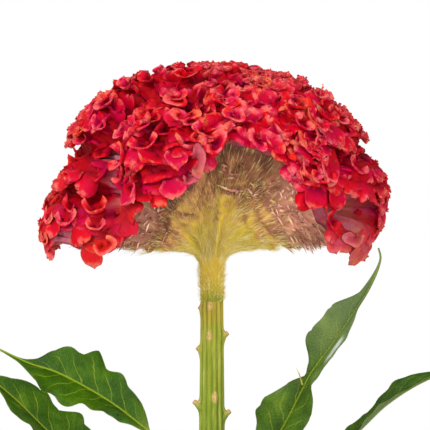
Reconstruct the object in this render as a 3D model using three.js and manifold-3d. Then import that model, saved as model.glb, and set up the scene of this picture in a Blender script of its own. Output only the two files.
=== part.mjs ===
// A potted cockscomb (crested celosia) in flower.
// A ribbed stem stands in a plain clay pot of soil and widens at its top into a hairy fan. The edge of
// the fan has grown far longer than its base and is folded into a domed red crest of ruffled bands.
// Millimetres, +Z up, and the front faces -Y. The origin is the middle of the pot's foot, on the ground.

import * as THREE from "three";
import { mergeVertices } from "three/addons/utils/BufferGeometryUtils.js";
import Module from "manifold-3d";

const wasm = await Module();
wasm.setup();

// Driving sizes.
const POT_HEIGHT = 105;
const POT_TOP_RADIUS = 65;
const POT_FOOT_RADIUS = 45;
const POT_WALL = 5;
const POT_FLOOR = 7;
const POT_RIM_HEIGHT = 24;
const POT_RIM_STEP = 3.5;
const POT_SIDES = 40;
const DRAIN_RADIUS = 5;
const DRAIN_CIRCLE = 24;
const DRAIN_COUNT = 3;

const SOIL_TOP = 92;
const SOIL_CLEARANCE = 0.4;
const SOIL_BUMP = 1.6;
const SOIL_SIDES = 40;

const STEM_FOOT = 62;
const STEM_TOP = 209;
const STEM_FOOT_RADIUS = 6.3;
const STEM_TOP_RADIUS = 4.6;
const STEM_RIBS = 12;
const RIB_DEPTH = 0.38;

const SEAT_GAP = 0.3;
const NECK_Z = 225;
const NECK_RADIUS = 5.2;
const HEAD_MIDDLE = new THREE.Vector3(0, 0, 255);
const DOME_HALF = new THREE.Vector3(67, 44, 51.5);

const { degToRad, lerp, smoothstep } = THREE.MathUtils;

// Shapes into closed solids and back

// A solid from a closed geometry.
function solidOf(geometry) {
  const bare = new THREE.BufferGeometry();
  bare.setAttribute("position", geometry.getAttribute("position"));
  if (geometry.index) bare.setIndex(geometry.index);
  const merged = mergeVertices(bare, 1e-4);
  return new wasm.Manifold(
    new wasm.Mesh({
      numProp: 3,
      vertProperties: merged.getAttribute("position").array,
      triVerts: new Uint32Array(merged.index.array),
    }),
  );
}

// The geometry of a solid, flat shaded.
function geometryOf(solid) {
  const mesh = solid.getMesh();
  const geometry = new THREE.BufferGeometry();
  geometry.setAttribute("position", new THREE.BufferAttribute(mesh.vertProperties, 3));
  geometry.setIndex(new THREE.BufferAttribute(mesh.triVerts, 1));
  const faceted = geometry.toNonIndexed();
  faceted.computeVertexNormals();
  return faceted;
}

// A geometry from points and triangles that count them.
function geometryFrom(points, triangles) {
  const geometry = new THREE.BufferGeometry();
  const flat = points.flatMap((p) => [p.x, p.y, p.z]);
  geometry.setAttribute("position", new THREE.Float32BufferAttribute(flat, 3));
  geometry.setIndex(triangles);
  return geometry;
}

// A closed skin over rings of points, each as long as the next, shut by a point at either end.
// Rings run anticlockwise as seen from the last end.
function loft(rings, firstEnd, lastEnd) {
  const count = rings[0].length;
  const points = [...rings.flat(), firstEnd, lastEnd];
  const first = points.length - 2;
  const last = points.length - 1;
  const top = (rings.length - 1) * count;
  const triangles = [];
  for (let j = 0; j < count; j++) {
    const next = (j + 1) % count;
    for (let i = 0; i < top; i += count) {
      triangles.push(i + j, i + next, i + count + next);
      triangles.push(i + j, i + count + next, i + count + j);
    }
    triangles.push(first, next, j);
    triangles.push(last, top + j, top + next);
  }
  return geometryFrom(points, triangles);
}

// A turned solid from a profile of [radius, height] pairs, upright.
function turned(profile, sides) {
  const points = profile.map(([radius, height]) => new THREE.Vector2(radius, height));
  return new THREE.LatheGeometry(points, sides).rotateX(Math.PI / 2);
}

// A cylinder that stands on the z axis between two heights.
function post(radius, low, high, sides) {
  const shape = new THREE.CylinderGeometry(radius, radius, high - low, sides);
  return shape.rotateX(Math.PI / 2).translate(0, 0, (low + high) / 2);
}

// A mesh with its name and finish.
function piece(name, geometry, material) {
  const mesh = new THREE.Mesh(geometry, material);
  mesh.name = name;
  return mesh;
}

function finish(color, roughness) {
  return new THREE.MeshStandardMaterial({ color, roughness, metalness: 0, side: THREE.DoubleSide });
}

// Pot and soil

// The pot's inner wall at a height.
function potInside(height) {
  const share = (height - POT_FLOOR) / (POT_HEIGHT - POT_FLOOR);
  return lerp(POT_FOOT_RADIUS - POT_WALL, POT_TOP_RADIUS - POT_WALL, share);
}

function makePot() {
  const rimLow = POT_HEIGHT - POT_RIM_HEIGHT;
  const underRim = lerp(POT_FOOT_RADIUS, POT_TOP_RADIUS - POT_RIM_STEP, rimLow / POT_HEIGHT);
  const body = turned(
    [
      [0, 0],
      [POT_FOOT_RADIUS - 1, 0],
      [POT_FOOT_RADIUS, 1.2],
      [underRim, rimLow],
      [POT_TOP_RADIUS - 1, rimLow + 1.5],
      [POT_TOP_RADIUS, POT_HEIGHT - 3],
      [POT_TOP_RADIUS - 1.4, POT_HEIGHT],
      [potInside(POT_HEIGHT) + 1, POT_HEIGHT],
      [potInside(POT_HEIGHT - 2), POT_HEIGHT - 2],
      [potInside(POT_FLOOR), POT_FLOOR],
      [0, POT_FLOOR],
    ],
    POT_SIDES,
  );
  const drains = [];
  for (let i = 0; i < DRAIN_COUNT; i++) {
    const turn = (i * 2 * Math.PI) / DRAIN_COUNT + Math.PI / 2;
    const hole = post(DRAIN_RADIUS, -5, POT_FLOOR + 5, 10);
    hole.translate(DRAIN_CIRCLE * Math.cos(turn), DRAIN_CIRCLE * Math.sin(turn), 0);
    drains.push(solidOf(hole));
  }
  return wasm.Manifold.difference([solidOf(body), ...drains]);
}

// How far the soil's top stands over its level, in crumbs and low mounds.
function soilRelief(x, y) {
  const mounds = Math.sin(0.11 * x + 1.3) * Math.cos(0.13 * y - 0.6);
  const crumbs = Math.sin(0.83 * x + 0.9 * Math.sin(0.6 * y)) * Math.sin(0.9 * y + 1.1 * Math.sin(0.5 * x));
  return SOIL_BUMP * (0.6 * mounds + 0.4 * crumbs);
}

function makeSoil() {
  const sides = SOIL_SIDES;
  const outer = (height) => potInside(height) - SOIL_CLEARANCE;
  const low = POT_FLOOR;
  const hole = STEM_FOOT_RADIUS + RIB_DEPTH + SEAT_GAP;
  const topRadii = [outer(SOIL_TOP), 50, 41, 32, 23, 14, hole];
  const ring = (radius, height, bumpy) =>
    Array.from({ length: sides }, (_, j) => {
      const turn = (j * 2 * Math.PI) / sides;
      const x = radius * Math.cos(turn);
      const y = radius * Math.sin(turn);
      return new THREE.Vector3(x, y, height + (bumpy ? soilRelief(x, y) : 0));
    });
  const rings = [ring(outer(low), low, false)];
  for (const radius of topRadii) rings.push(ring(radius, SOIL_TOP, true));
  rings.push(ring(hole, STEM_FOOT - SEAT_GAP, false));
  const bottom = new THREE.Vector3(0, 0, low);
  const holeFloor = new THREE.Vector3(0, 0, STEM_FOOT - SEAT_GAP);
  return solidOf(loft(rings, bottom, holeFloor));
}

// Stem

function stemRadius(height) {
  const share = (height - STEM_FOOT) / (STEM_TOP - STEM_FOOT);
  return lerp(STEM_FOOT_RADIUS, STEM_TOP_RADIUS, share);
}

// Scars and stubs that fallen leaves left: azimuth, height, and how far each stands out.
const LEAF_SCARS = [
  [-80, 207, 1.2],
  [25, 208, 0.8],
  [82, 195.5, 2.6],
  [-15, 195, 0.9],
  [-85, 189.5, 2.0],
  [15, 169, 1.0],
  [-78, 166, 3.6],
  [80, 162, 3.4],
  [150, 201, 1.6],
  [-150, 182, 2.2],
  [165, 164, 2.6],
];

function makeStem() {
  const sides = STEM_RIBS * 2;
  const rings = [];
  const levels = 8;
  for (let i = 0; i <= levels; i++) {
    const height = lerp(STEM_FOOT, STEM_TOP, i / levels);
    rings.push(
      Array.from({ length: sides }, (_, j) => {
        const turn = (j * 2 * Math.PI) / sides;
        const rib = j % 2 ? RIB_DEPTH : -RIB_DEPTH;
        const radius = stemRadius(height) + rib;
        return new THREE.Vector3(radius * Math.cos(turn), radius * Math.sin(turn), height);
      }),
    );
  }
  const shaft = loft(rings, new THREE.Vector3(0, 0, STEM_FOOT), new THREE.Vector3(0, 0, STEM_TOP));
  return wasm.Manifold.union([solidOf(shaft), ...LEAF_SCARS.map(makeScar)]);
}

// One leaf scar: a short tapered stub that leans up and out of the stem.
function makeScar([azimuth, height, proud]) {
  const out = aim(azimuth, 38);
  const stub = new THREE.CylinderGeometry(1.1, 2.3, 3 + proud, 5);
  stub.applyQuaternion(new THREE.Quaternion().setFromUnitVectors(new THREE.Vector3(0, 1, 0), out));
  const seat = aim(azimuth, 0).multiplyScalar(stemRadius(height) + (proud - 3) * 0.4);
  stub.translate(seat.x, seat.y, height - 1);
  return solidOf(stub).trimByPlane([0, 0, -1], -STEM_TOP);
}

// Head: the dome that the fan and the crest share

// The direction at an azimuth from the front towards +X and an elevation, in degrees.
function aim(azimuth, elevation) {
  const a = degToRad(azimuth);
  const e = degToRad(elevation);
  return new THREE.Vector3(Math.cos(e) * Math.sin(a), -Math.cos(e) * Math.cos(a), Math.sin(e));
}

// The shorter way round between two azimuths.
function turnBetween(a, b) {
  return ((((a - b) % 360) + 540) % 360) - 180;
}

// Lobes of the dome: azimuth, elevation, half widths in both, and rise.
const LOBES = [
  { azimuth: -72, elevation: -18, wide: 30, tall: 13, rise: 8 },
  { azimuth: 88, elevation: 2, wide: 26, tall: 28, rise: 4.5 },
  { azimuth: -26, elevation: 14, wide: 20, tall: 22, rise: 9 },
  { azimuth: -90, elevation: 10, wide: 24, tall: 12, rise: -4 },
  { azimuth: 45, elevation: 38, wide: 26, tall: 22, rise: 3 },
  { azimuth: -140, elevation: 10, wide: 24, tall: 22, rise: 5 },
  { azimuth: 140, elevation: 24, wide: 30, tall: 20, rise: 4 },
];

// Folds between lobes: each a run of [azimuth, elevation] points, with a depth and a half width.
const FOLDS = [
  { depth: 11, width: 6, run: [[-46, -8], [-50, 14], [-54, 34], [-46, 52], [-28, 64], [0, 68], [30, 64]] },
  { depth: 9, width: 5, run: [[-122, 14], [-90, 17], [-66, 19], [-54, 20]] },
  { depth: 12, width: 5, run: [[-84, 3], [-70, 1], [-48, -1]] },
  { depth: 12, width: 5, run: [[52, -4], [64, -6], [76, -5]] },
  { depth: 9, width: 6, run: [[150, -10], [146, 15], [158, 40], [185, 58], [220, 66]] },
];

// The angle between a direction and the nearest point of a fold's run.
function angleToFold(azimuth, elevation, run) {
  let nearest = 180;
  for (let i = 0; i + 1 < run.length; i++) {
    const flat = Math.cos(degToRad(elevation));
    const ax = turnBetween(run[i][0], azimuth) * flat;
    const ay = run[i][1] - elevation;
    const bx = turnBetween(run[i + 1][0], azimuth) * flat;
    const by = run[i + 1][1] - elevation;
    const length2 = (bx - ax) ** 2 + (by - ay) ** 2;
    const along = THREE.MathUtils.clamp(-(ax * (bx - ax) + ay * (by - ay)) / length2, 0, 1);
    nearest = Math.min(nearest, Math.hypot(lerp(ax, bx, along), lerp(ay, by, along)));
  }
  return nearest;
}

// How far the dome with its lobes, but not its folds, reaches from the head's middle.
function lobedReach(azimuth, elevation) {
  const d = aim(azimuth, elevation);
  let reach = 1 / Math.hypot(d.x / DOME_HALF.x, d.y / DOME_HALF.y, d.z / DOME_HALF.z);
  for (const lobe of LOBES) {
    const across = turnBetween(azimuth, lobe.azimuth) / lobe.wide;
    const up = (elevation - lobe.elevation) / lobe.tall;
    reach += lobe.rise * Math.exp(-across * across - up * up);
  }
  return reach;
}

// How deep the folds cut into the dome in a direction.
function foldDepth(azimuth, elevation) {
  let depth = 0;
  for (const fold of FOLDS) {
    const away = angleToFold(azimuth, elevation, fold.run) / fold.width;
    depth = Math.max(depth, fold.depth * Math.exp(-away * away));
  }
  return depth;
}

// The crest's lower edge: elevation at each azimuth, round the head.
const RIM = [
  [-180, 6], [-150, -2], [-120, -12], [-100, -16], [-86, -18], [-74, -17], [-62, -19], [-50, -21],
  [-44, -13], [-38, 2], [-26, 2], [-14, 6], [-4, 20], [8, 31], [22, 27], [36, 20], [45, 11], [52, -4],
  [59, -13], [67, -17], [78, -19], [92, -18], [110, -14], [130, -8], [155, 2], [180, 6],
];

function rimElevation(azimuth) {
  const a = turnBetween(azimuth, 0);
  const i = Math.max(0, RIM.findIndex(([next]) => next >= a) - 1);
  const share = (a - RIM[i][0]) / (RIM[i + 1][0] - RIM[i][0]);
  return lerp(RIM[i][1], RIM[i + 1][1], smoothstep(share, 0, 1));
}

// The elevation at a share of the way from the rim, 0, to the top of the dome, 1.
function elevationAt(azimuth, share) {
  return lerp(rimElevation(azimuth), 90, share);
}

// The point at a reach from the head's middle.
function headPoint(azimuth, elevation, reach) {
  return aim(azimuth, elevation).multiplyScalar(reach).add(HEAD_MIDDLE);
}

// The dome without its folds at a share of the way up.
function smoothPoint(azimuth, share) {
  const elevation = elevationAt(azimuth, share);
  return headPoint(azimuth, elevation, lobedReach(azimuth, elevation));
}

const HEAD_SIDES = 44;
const RIM_SHARE = 0.1;
// The crest stands on the fan's domed top: how far inside the rim, how high, and at which shares of
// the way in to the axis the rings of that face lie.
const RIM_LIP = 5;
const FAN_TOP_Z = 268;
const SEAT_SHARES = [0, 0.2, 0.45, 0.72];

// How far a fold sinks the skin at a share of the way up. The folds run out at the rim.
function sunkBy(azimuth, share) {
  return foldDepth(azimuth, elevationAt(azimuth, share)) * smoothstep(share, 0, RIM_SHARE);
}

// The skin of the dome at a share of the way up, with its folds.
function skinPoint(azimuth, share) {
  const elevation = elevationAt(azimuth, share);
  return headPoint(azimuth, elevation, lobedReach(azimuth, elevation) - sunkBy(azimuth, share));
}

// The face between the fan and the crest, from the rim, 0, in to the axis, 1. The fan's own face lies
// a little lower and further in.
function seatPoint(azimuth, share, gap = 0) {
  const elevation = rimElevation(azimuth);
  const rim = headPoint(azimuth, elevation, lobedReach(azimuth, elevation) - RIM_LIP);
  const radius = (Math.hypot(rim.x, rim.y) - gap) * (1 - share);
  const height = lerp(FAN_TOP_Z, rim.z, (1 - share) ** 1.5);
  return aim(azimuth, 0).multiplyScalar(radius).setZ(height - gap);
}

function azimuths(count) {
  return Array.from({ length: count }, (_, j) => (j * 360) / count - 180);
}

// How much lower the fan's underside hangs at its two long ends.
const FAN_SAG = 3;

// The fan's underside at an azimuth, from the neck, 0, to the rim, 1.
function fanUnderside(azimuth, share) {
  const rim = seatPoint(azimuth, 0, SEAT_GAP);
  const out = aim(azimuth, 0);
  const rimRadius = Math.hypot(rim.x, rim.y);
  const climb = Math.max(0, rim.z - NECK_Z - 8);
  const sag = FAN_SAG * Math.abs(out.x);
  const curve = new THREE.CubicBezierCurve(
    new THREE.Vector2(NECK_RADIUS, NECK_Z),
    new THREE.Vector2(NECK_RADIUS + 0.5, NECK_Z + 9),
    new THREE.Vector2(lerp(NECK_RADIUS, rimRadius, 0.2), NECK_Z + 8.5 - sag + climb * 0.35),
    new THREE.Vector2(rimRadius, rim.z),
  );
  const at = curve.getPoint(share);
  return out.multiplyScalar(at.x).setZ(at.y);
}

// Papery florets under the crest: azimuth, share of the way out, and how many in the tuft.
const TUFTS = [
  [-50, 0.82, 4], [-36, 0.64, 3], [-10, 0.88, 3], [14, 0.9, 4], [31, 0.78, 4], [42, 0.62, 3], [54, 0.76, 4],
  [70, 0.62, 3], [124, 0.7, 3], [158, 0.78, 3], [-160, 0.74, 3], [-124, 0.66, 3],
];
const FLORET_LENGTH = 7;
const FLORET_RADIUS = 1.1;
const FAN_RIDGE = 0.35;

// A tuft of florets that lean out and down from the fan's underside.
function makeTuft([azimuth, share, count]) {
  return Array.from({ length: count }, (_, k) => {
    const turn = azimuth + 4.5 * (k - (count - 1) / 2);
    const place = fanUnderside(turn, share - 0.05 * (k % 2));
    const lean = aim(turn + 14 * Math.sin(azimuth + 2.4 * k), -18 + 14 * Math.cos(azimuth + 1.7 * k));
    const floret = new THREE.ConeGeometry(FLORET_RADIUS, FLORET_LENGTH, 3);
    floret.translate(0, FLORET_LENGTH / 2 - 1.5, 0);
    floret.applyQuaternion(new THREE.Quaternion().setFromUnitVectors(new THREE.Vector3(0, 1, 0), lean));
    return solidOf(floret.translate(place.x, place.y, place.z));
  });
}

function makeFan() {
  const ring = (place) => azimuths(HEAD_SIDES).map(place);
  const rings = [
    ring((azimuth) => aim(azimuth, 0).multiplyScalar(STEM_TOP_RADIUS).setZ(STEM_TOP)),
    ring((azimuth) => aim(azimuth, 0).multiplyScalar(NECK_RADIUS).setZ(NECK_Z - 6)),
  ];
  for (const share of [0, 0.12, 0.25, 0.4, 0.6, 0.8]) {
    rings.push(ring((azimuth) => fanUnderside(azimuth, share)).map(raiseRidge));
  }
  rings.push(ring((azimuth) => fanUnderside(azimuth, 1)));
  for (const share of SEAT_SHARES.slice(1)) {
    rings.push(ring((azimuth) => seatPoint(azimuth, share, SEAT_GAP)));
  }
  const body = solidOf(loft(rings, new THREE.Vector3(0, 0, STEM_TOP), seatPoint(0, 1, SEAT_GAP)));
  return wasm.Manifold.union([body, ...TUFTS.flatMap(makeTuft)]);
}

// Every other point of a ring moved out a little, for the ridges that run up the fan.
function raiseRidge(point, j) {
  const out = new THREE.Vector3(point.x, point.y, -6).normalize();
  return point.addScaledVector(out, j % 2 ? FAN_RIDGE : -FAN_RIDGE);
}

// Crest: a fleshy dome on the fan, with ruffled bands that grow out of it

// Rows of ruffles from the rim to the top: share of the way up, ruffle length, band height, swing.
// A short row stands only on the two long ends of the dome, where the others spread apart.
const ROWS = [
  { share: 0.02, length: 15, height: 9, swing: 4.2, short: false },
  { share: 0.12, length: 15, height: 8, swing: 4.2, short: true },
  { share: 0.2, length: 15, height: 8, swing: 4.2, short: false },
  { share: 0.3, length: 15, height: 7.5, swing: 4.2, short: true },
  { share: 0.38, length: 15, height: 7.5, swing: 4.2, short: false },
  { share: 0.48, length: 15, height: 7, swing: 4.0, short: true },
  { share: 0.56, length: 14, height: 7, swing: 4, short: false },
  { share: 0.71, length: 14, height: 7, swing: 3.8, short: false },
  { share: 0.87, length: 13, height: 6.5, swing: 3.2, short: false },
];
const SAMPLES_PER_RUFFLE = 7;
const BAND_THICKNESS = 2.2;
const DROOP_AT_RIM = 62;
const DROOP_AT_TOP = 8;
const ROW_STEPS = 720;
// How deep a fold would have to be for no ruffle to stand in it.
const FOLD_BARE = 14;
const LEAST_STATURE = 0.12;
const BARE_STRIDE = 4;

// Ovals of smooth skin where no ruffle stands: azimuth, elevation, half width and half height.
const BARE_PATCHES = [
  { azimuth: -67, elevation: -17, wide: 10, tall: 6 },
  { azimuth: 62, elevation: -5, wide: 16, tall: 5.5 },
];

// How bare the skin is in a direction, from 0 to 1.
function bareness(azimuth, elevation) {
  let bare = 0;
  for (const patch of BARE_PATCHES) {
    const across = turnBetween(azimuth, patch.azimuth) / patch.wide;
    const up = (elevation - patch.elevation) / patch.tall;
    bare = Math.max(bare, Math.exp(-((across * across + up * up) ** 2)));
  }
  return bare;
}

// How tall a row's band stands at a place, as a share of its full height.
function statureAt(azimuth, { share, short }) {
  const inFolds = 1 - sunkBy(azimuth, share) / FOLD_BARE;
  const atEnds = short ? smoothstep(Math.abs(Math.sin(degToRad(azimuth))), 0.45, 0.8) : 1;
  const clad = 1 - bareness(azimuth, elevationAt(azimuth, share));
  return Math.max(LEAST_STATURE, inFolds * atEnds * clad);
}

// Places along a row, evenly spaced by length, with the frame of the smooth dome at each. Where the
// band is bare only a few of them are kept.
function rowPlaces(row, index) {
  const { share, length } = row;
  const turns = azimuths(ROW_STEPS);
  const lengths = [0];
  for (let i = 1; i <= ROW_STEPS; i++) {
    const here = smoothPoint(turns[i % ROW_STEPS], share);
    lengths.push(lengths[i - 1] + here.distanceTo(smoothPoint(turns[i - 1], share)));
  }
  const total = lengths[ROW_STEPS];
  const count = Math.max(3, Math.round(total / length)) * SAMPLES_PER_RUFFLE;
  const places = [];
  for (let i = 0; i < count; i++) {
    const goal = (total * i) / count;
    const k = lengths.findIndex((reached) => reached > goal) - 1;
    const azimuth = ((k + (goal - lengths[k]) / (lengths[k + 1] - lengths[k])) * 360) / ROW_STEPS - 180;
    const stature = statureAt(azimuth, row);
    if (stature === LEAST_STATURE && i % BARE_STRIDE) continue;
    const along = smoothPoint(azimuth + 2, share).sub(smoothPoint(azimuth - 2, share)).normalize();
    const up = smoothPoint(azimuth, share + 0.02).sub(smoothPoint(azimuth, share - 0.02)).normalize();
    const out = along.clone().cross(up).normalize();
    const down = along.clone().cross(out).normalize();
    const wander = 0.9 * Math.sin(degToRad(azimuth * 3 + index * 70));
    const phase = (2 * Math.PI * i) / SAMPLES_PER_RUFFLE + wander;
    places.push({ azimuth, point: skinPoint(azimuth, share), along, out, down, stature, phase });
  }
  return places;
}

// One ruffled band: four lines round the head, down its lower side and up its upper side, that
// swing in rounded folds which grow from the root to the edge.
function bandLines(row, index) {
  const places = rowPlaces(row, index);
  const droop = degToRad(lerp(DROOP_AT_RIM, DROOP_AT_TOP, smoothstep(row.share, 0, 0.6)));
  const line = (lift, swing) =>
    places.map(({ point, along, out, down, stature, phase }) => {
      const lean = out.clone().multiplyScalar(Math.cos(droop)).addScaledVector(down, Math.sin(droop));
      const side = out.clone().multiplyScalar(-Math.sin(droop)).addScaledVector(down, Math.cos(droop));
      return point
        .clone()
        .addScaledVector(lean, lift * stature)
        .addScaledVector(side, stature * swing * Math.sin(phase))
        .addScaledVector(along, -0.28 * stature * swing * Math.sin(2 * phase));
    });
  const root = line(0, row.swing * 0.3);
  const edge = line(row.height, row.swing);
  const half = BAND_THICKNESS / 2;
  const offset = (points, others, amount) =>
    points.map((p, i) => {
      const before = points[(i + points.length - 1) % points.length];
      const after = points[(i + 1) % points.length];
      const rise = edge[i].clone().sub(root[i]).normalize();
      return p.clone().addScaledVector(after.clone().sub(before).cross(rise).normalize(), amount);
    });
  const turns = places.map((place) => place.azimuth);
  return [
    { turns, points: offset(root, edge, half) },
    { turns, points: offset(edge, root, half) },
    { turns, points: offset(edge, root, -half) },
    { turns, points: offset(root, edge, -half) },
  ];
}

// Triangles between two rings of points that both run round by azimuth.
function zip(lower, upper, lowerStart, upperStart, triangles) {
  const n = lower.turns.length;
  const m = upper.turns.length;
  let i = 0;
  let j = 0;
  while (i < n || j < m) {
    const nextLower = i < n ? (lower.turns[i + 1] ?? 180) : Infinity;
    const nextUpper = j < m ? (upper.turns[j + 1] ?? 180) : Infinity;
    const a = lowerStart + (i % n);
    const b = upperStart + (j % m);
    if (nextLower < nextUpper || (nextLower === nextUpper && n >= m)) {
      i++;
      triangles.push(a, lowerStart + (i % n), b);
    } else {
      j++;
      triangles.push(a, upperStart + (j % m), b);
    }
  }
}

function makeCrest() {
  const turns = azimuths(HEAD_SIDES);
  const seat = (share) => turns.map((azimuth) => seatPoint(azimuth, share));
  const rings = SEAT_SHARES.map((share) => ({ turns, points: seat(share) })).reverse();
  for (const [index, row] of ROWS.entries()) rings.push(...bandLines(row, index));
  const points = rings.flatMap((ring) => ring.points);
  const triangles = [];
  let start = 0;
  for (let k = 0; k + 1 < rings.length; k++) {
    const next = start + rings[k].points.length;
    zip(rings[k], rings[k + 1], start, next, triangles);
    start = next;
  }
  const inside = points.push(seatPoint(0, 1)) - 1;
  const outside = points.push(skinPoint(0, 1)) - 1;
  for (let j = 0; j < HEAD_SIDES; j++) triangles.push(inside, (j + 1) % HEAD_SIDES, j);
  const last = rings[rings.length - 1].points.length;
  for (let j = 0; j < last; j++) triangles.push(outside, start + j, start + ((j + 1) % last));
  return solidOf(geometryFrom(points, triangles));
}

// Leaves

const LEAF_THICKNESS = 1.1;
const LEAF_EDGE = 0.8;
const PETIOLE_HALF = 1.3;
const PETIOLE_STEPS = 3;
const BLADE_STEPS = 12;
// Places across a leaf, from its left edge to its right.
const ACROSS = [-1, -0.52, 0, 0.52, 1];

// The four leaves that rise highest. Each has its midrib from the stem out, the way its upper face
// looks from the base to the tip, the share of its length that is petiole, the half widths to the
// left and to the right of the midrib from the base to the tip, how far in degrees each half folds
// up, and its waves.
const UPPER_LEAVES = [
  {
    midrib: [
      [-4, -4, 134], [-26, -10, 154], [-42, -13, 167], [-65, -15, 180], [-77, -15, 184], [-91, -13, 190.5],
    ],
    faces: [[0.2, -0.85, 0.5], [0.3, -0.8, 0.5]],
    petiole: 0.3,
    widths: [[6, 6, 6, 6, 8, 14.5, 17, 14, 8], [11, 11, 11, 11, 11, 16, 12, 5, 4]],
    folds: [18, 14],
    wave: 1.8,
    waves: 4,
  },
  {
    midrib: [
      [-5.5, 2, 124], [-26, 8, 129], [-56, 12, 140], [-72, 13, 154.5], [-86, 14, 168], [-106, 14, 184],
    ],
    faces: [[0.1, -0.6, 0.8], [0.3, -0.8, 0.5]],
    petiole: 0.22,
    widths: [[15, 15, 12, 9], [17, 17, 13, 20]],
    folds: [30, 12],
    wave: 1.8,
    waves: 3.5,
  },
  {
    midrib: [
      [6, -2, 127], [18, -8, 141], [29, -12, 155.5], [35.8, -16, 168.5], [41.5, -20, 180],
      [49.5, -24, 191.5], [59.3, -28, 206], [66.2, -30, 217.5], [69.9, -31, 228.5], [69, -31, 232.6],
    ],
    faces: [[-0.1, -0.9, 0.35], [-0.15, -0.9, 0.35], [-0.5, -0.8, 0.3], [-0.5, -0.8, 0.1], [-0.5, -0.8, 0]],
    petiole: 0.14,
    widths: [[15, 15, 15, 13, 2.5, 11, 13, 12, 8], [14, 15, 16, 15, 10, 7, 4, 3, 3]],
    folds: [18, 30],
    wave: 2.2,
    waves: 3.5,
  },
  {
    midrib: [[5, 4, 120], [38, 8, 135], [61, 9, 152.5], [75, 9, 165.5], [91, 8, 175.5], [112, 7, 183]],
    faces: [[-0.3, -0.35, 0.88], [-0.3, -0.35, 0.88]],
    petiole: 0.25,
    widths: [[6, 6, 6, 5, 5, 10, 10], [6, 6, 7, 6, 3, 3, 4]],
    folds: [25, 32],
    wave: 1.2,
    waves: 3,
  },
];

// The leaves below them, which arch out over the pot's rim: azimuth, height on the stem, length, how
// far up the middle arches, and the half width.
const LOWER_LEAVES = [
  [181, 119, 92, 16, 16],
  [18, 118, 90, 16, 17],
  [-142, 122, 98, 18, 17],
  [124, 113, 96, 20, 17],
  [62, 107, 88, 16, 16],
  [-28, 104, 84, 15, 15],
  [-88, 108, 86, 15, 15],
];

function lowerLeaf([azimuth, height, length, arch, width], index) {
  const sway = index % 2 ? 7 : -7;
  const at = (share, rise) => {
    const out = aim(azimuth + sway * share, 0).multiplyScalar(stemRadius(height) - 1 + share * length);
    return [out.x, out.y, height + rise];
  };
  const face = aim(azimuth + 180, 70).toArray();
  return {
    midrib: [at(0, 0), at(0.3, arch * 0.75), at(0.6, arch), at(0.82, arch * 0.6), at(1, -arch * 0.1)],
    faces: [face, aim(azimuth, 60).toArray()],
    petiole: 0.2,
    widths: [[width, width], [width, width]],
    folds: [16, 16],
    wave: 2,
    waves: 3 + (index % 3) * 0.5,
  };
}

// A blade draws in towards its tip to a narrow tail: from where, to where, and how much it loses.
const TAIL_FROM = 0.68;
const TAIL_TO = 0.88;
const TAIL_LOSS = 0.7;

// A value at a share of the way through evenly spaced ones.
function amongst(values, share) {
  const turn = share * (values.length - 1);
  const from = Math.min(Math.floor(turn), values.length - 2);
  return lerp(values[from], values[from + 1], turn - from);
}

// The half width of a leaf at a share of its length, as a share of its greatest.
function bladeShape(share, petiole) {
  const along = (share - petiole) / (1 - petiole);
  if (along <= 0) return 0;
  const tail = 1 - TAIL_LOSS * smoothstep(along, TAIL_FROM, TAIL_TO);
  return 2.745 * along ** 0.6 * (1 - along) ** 0.9 * tail;
}

// The room that the stem takes up, with the gap that a petiole keeps to its ribs.
const roomAtTop = STEM_TOP_RADIUS + RIB_DEPTH + SEAT_GAP;
const roomAtFoot = STEM_FOOT_RADIUS + RIB_DEPTH + SEAT_GAP;
const roomShape = new THREE.CylinderGeometry(roomAtTop, roomAtFoot, STEM_TOP - STEM_FOOT, STEM_RIBS * 2);
roomShape.rotateX(Math.PI / 2).translate(0, 0, (STEM_TOP + STEM_FOOT) / 2);
const stemRoom = solidOf(roomShape);

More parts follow.
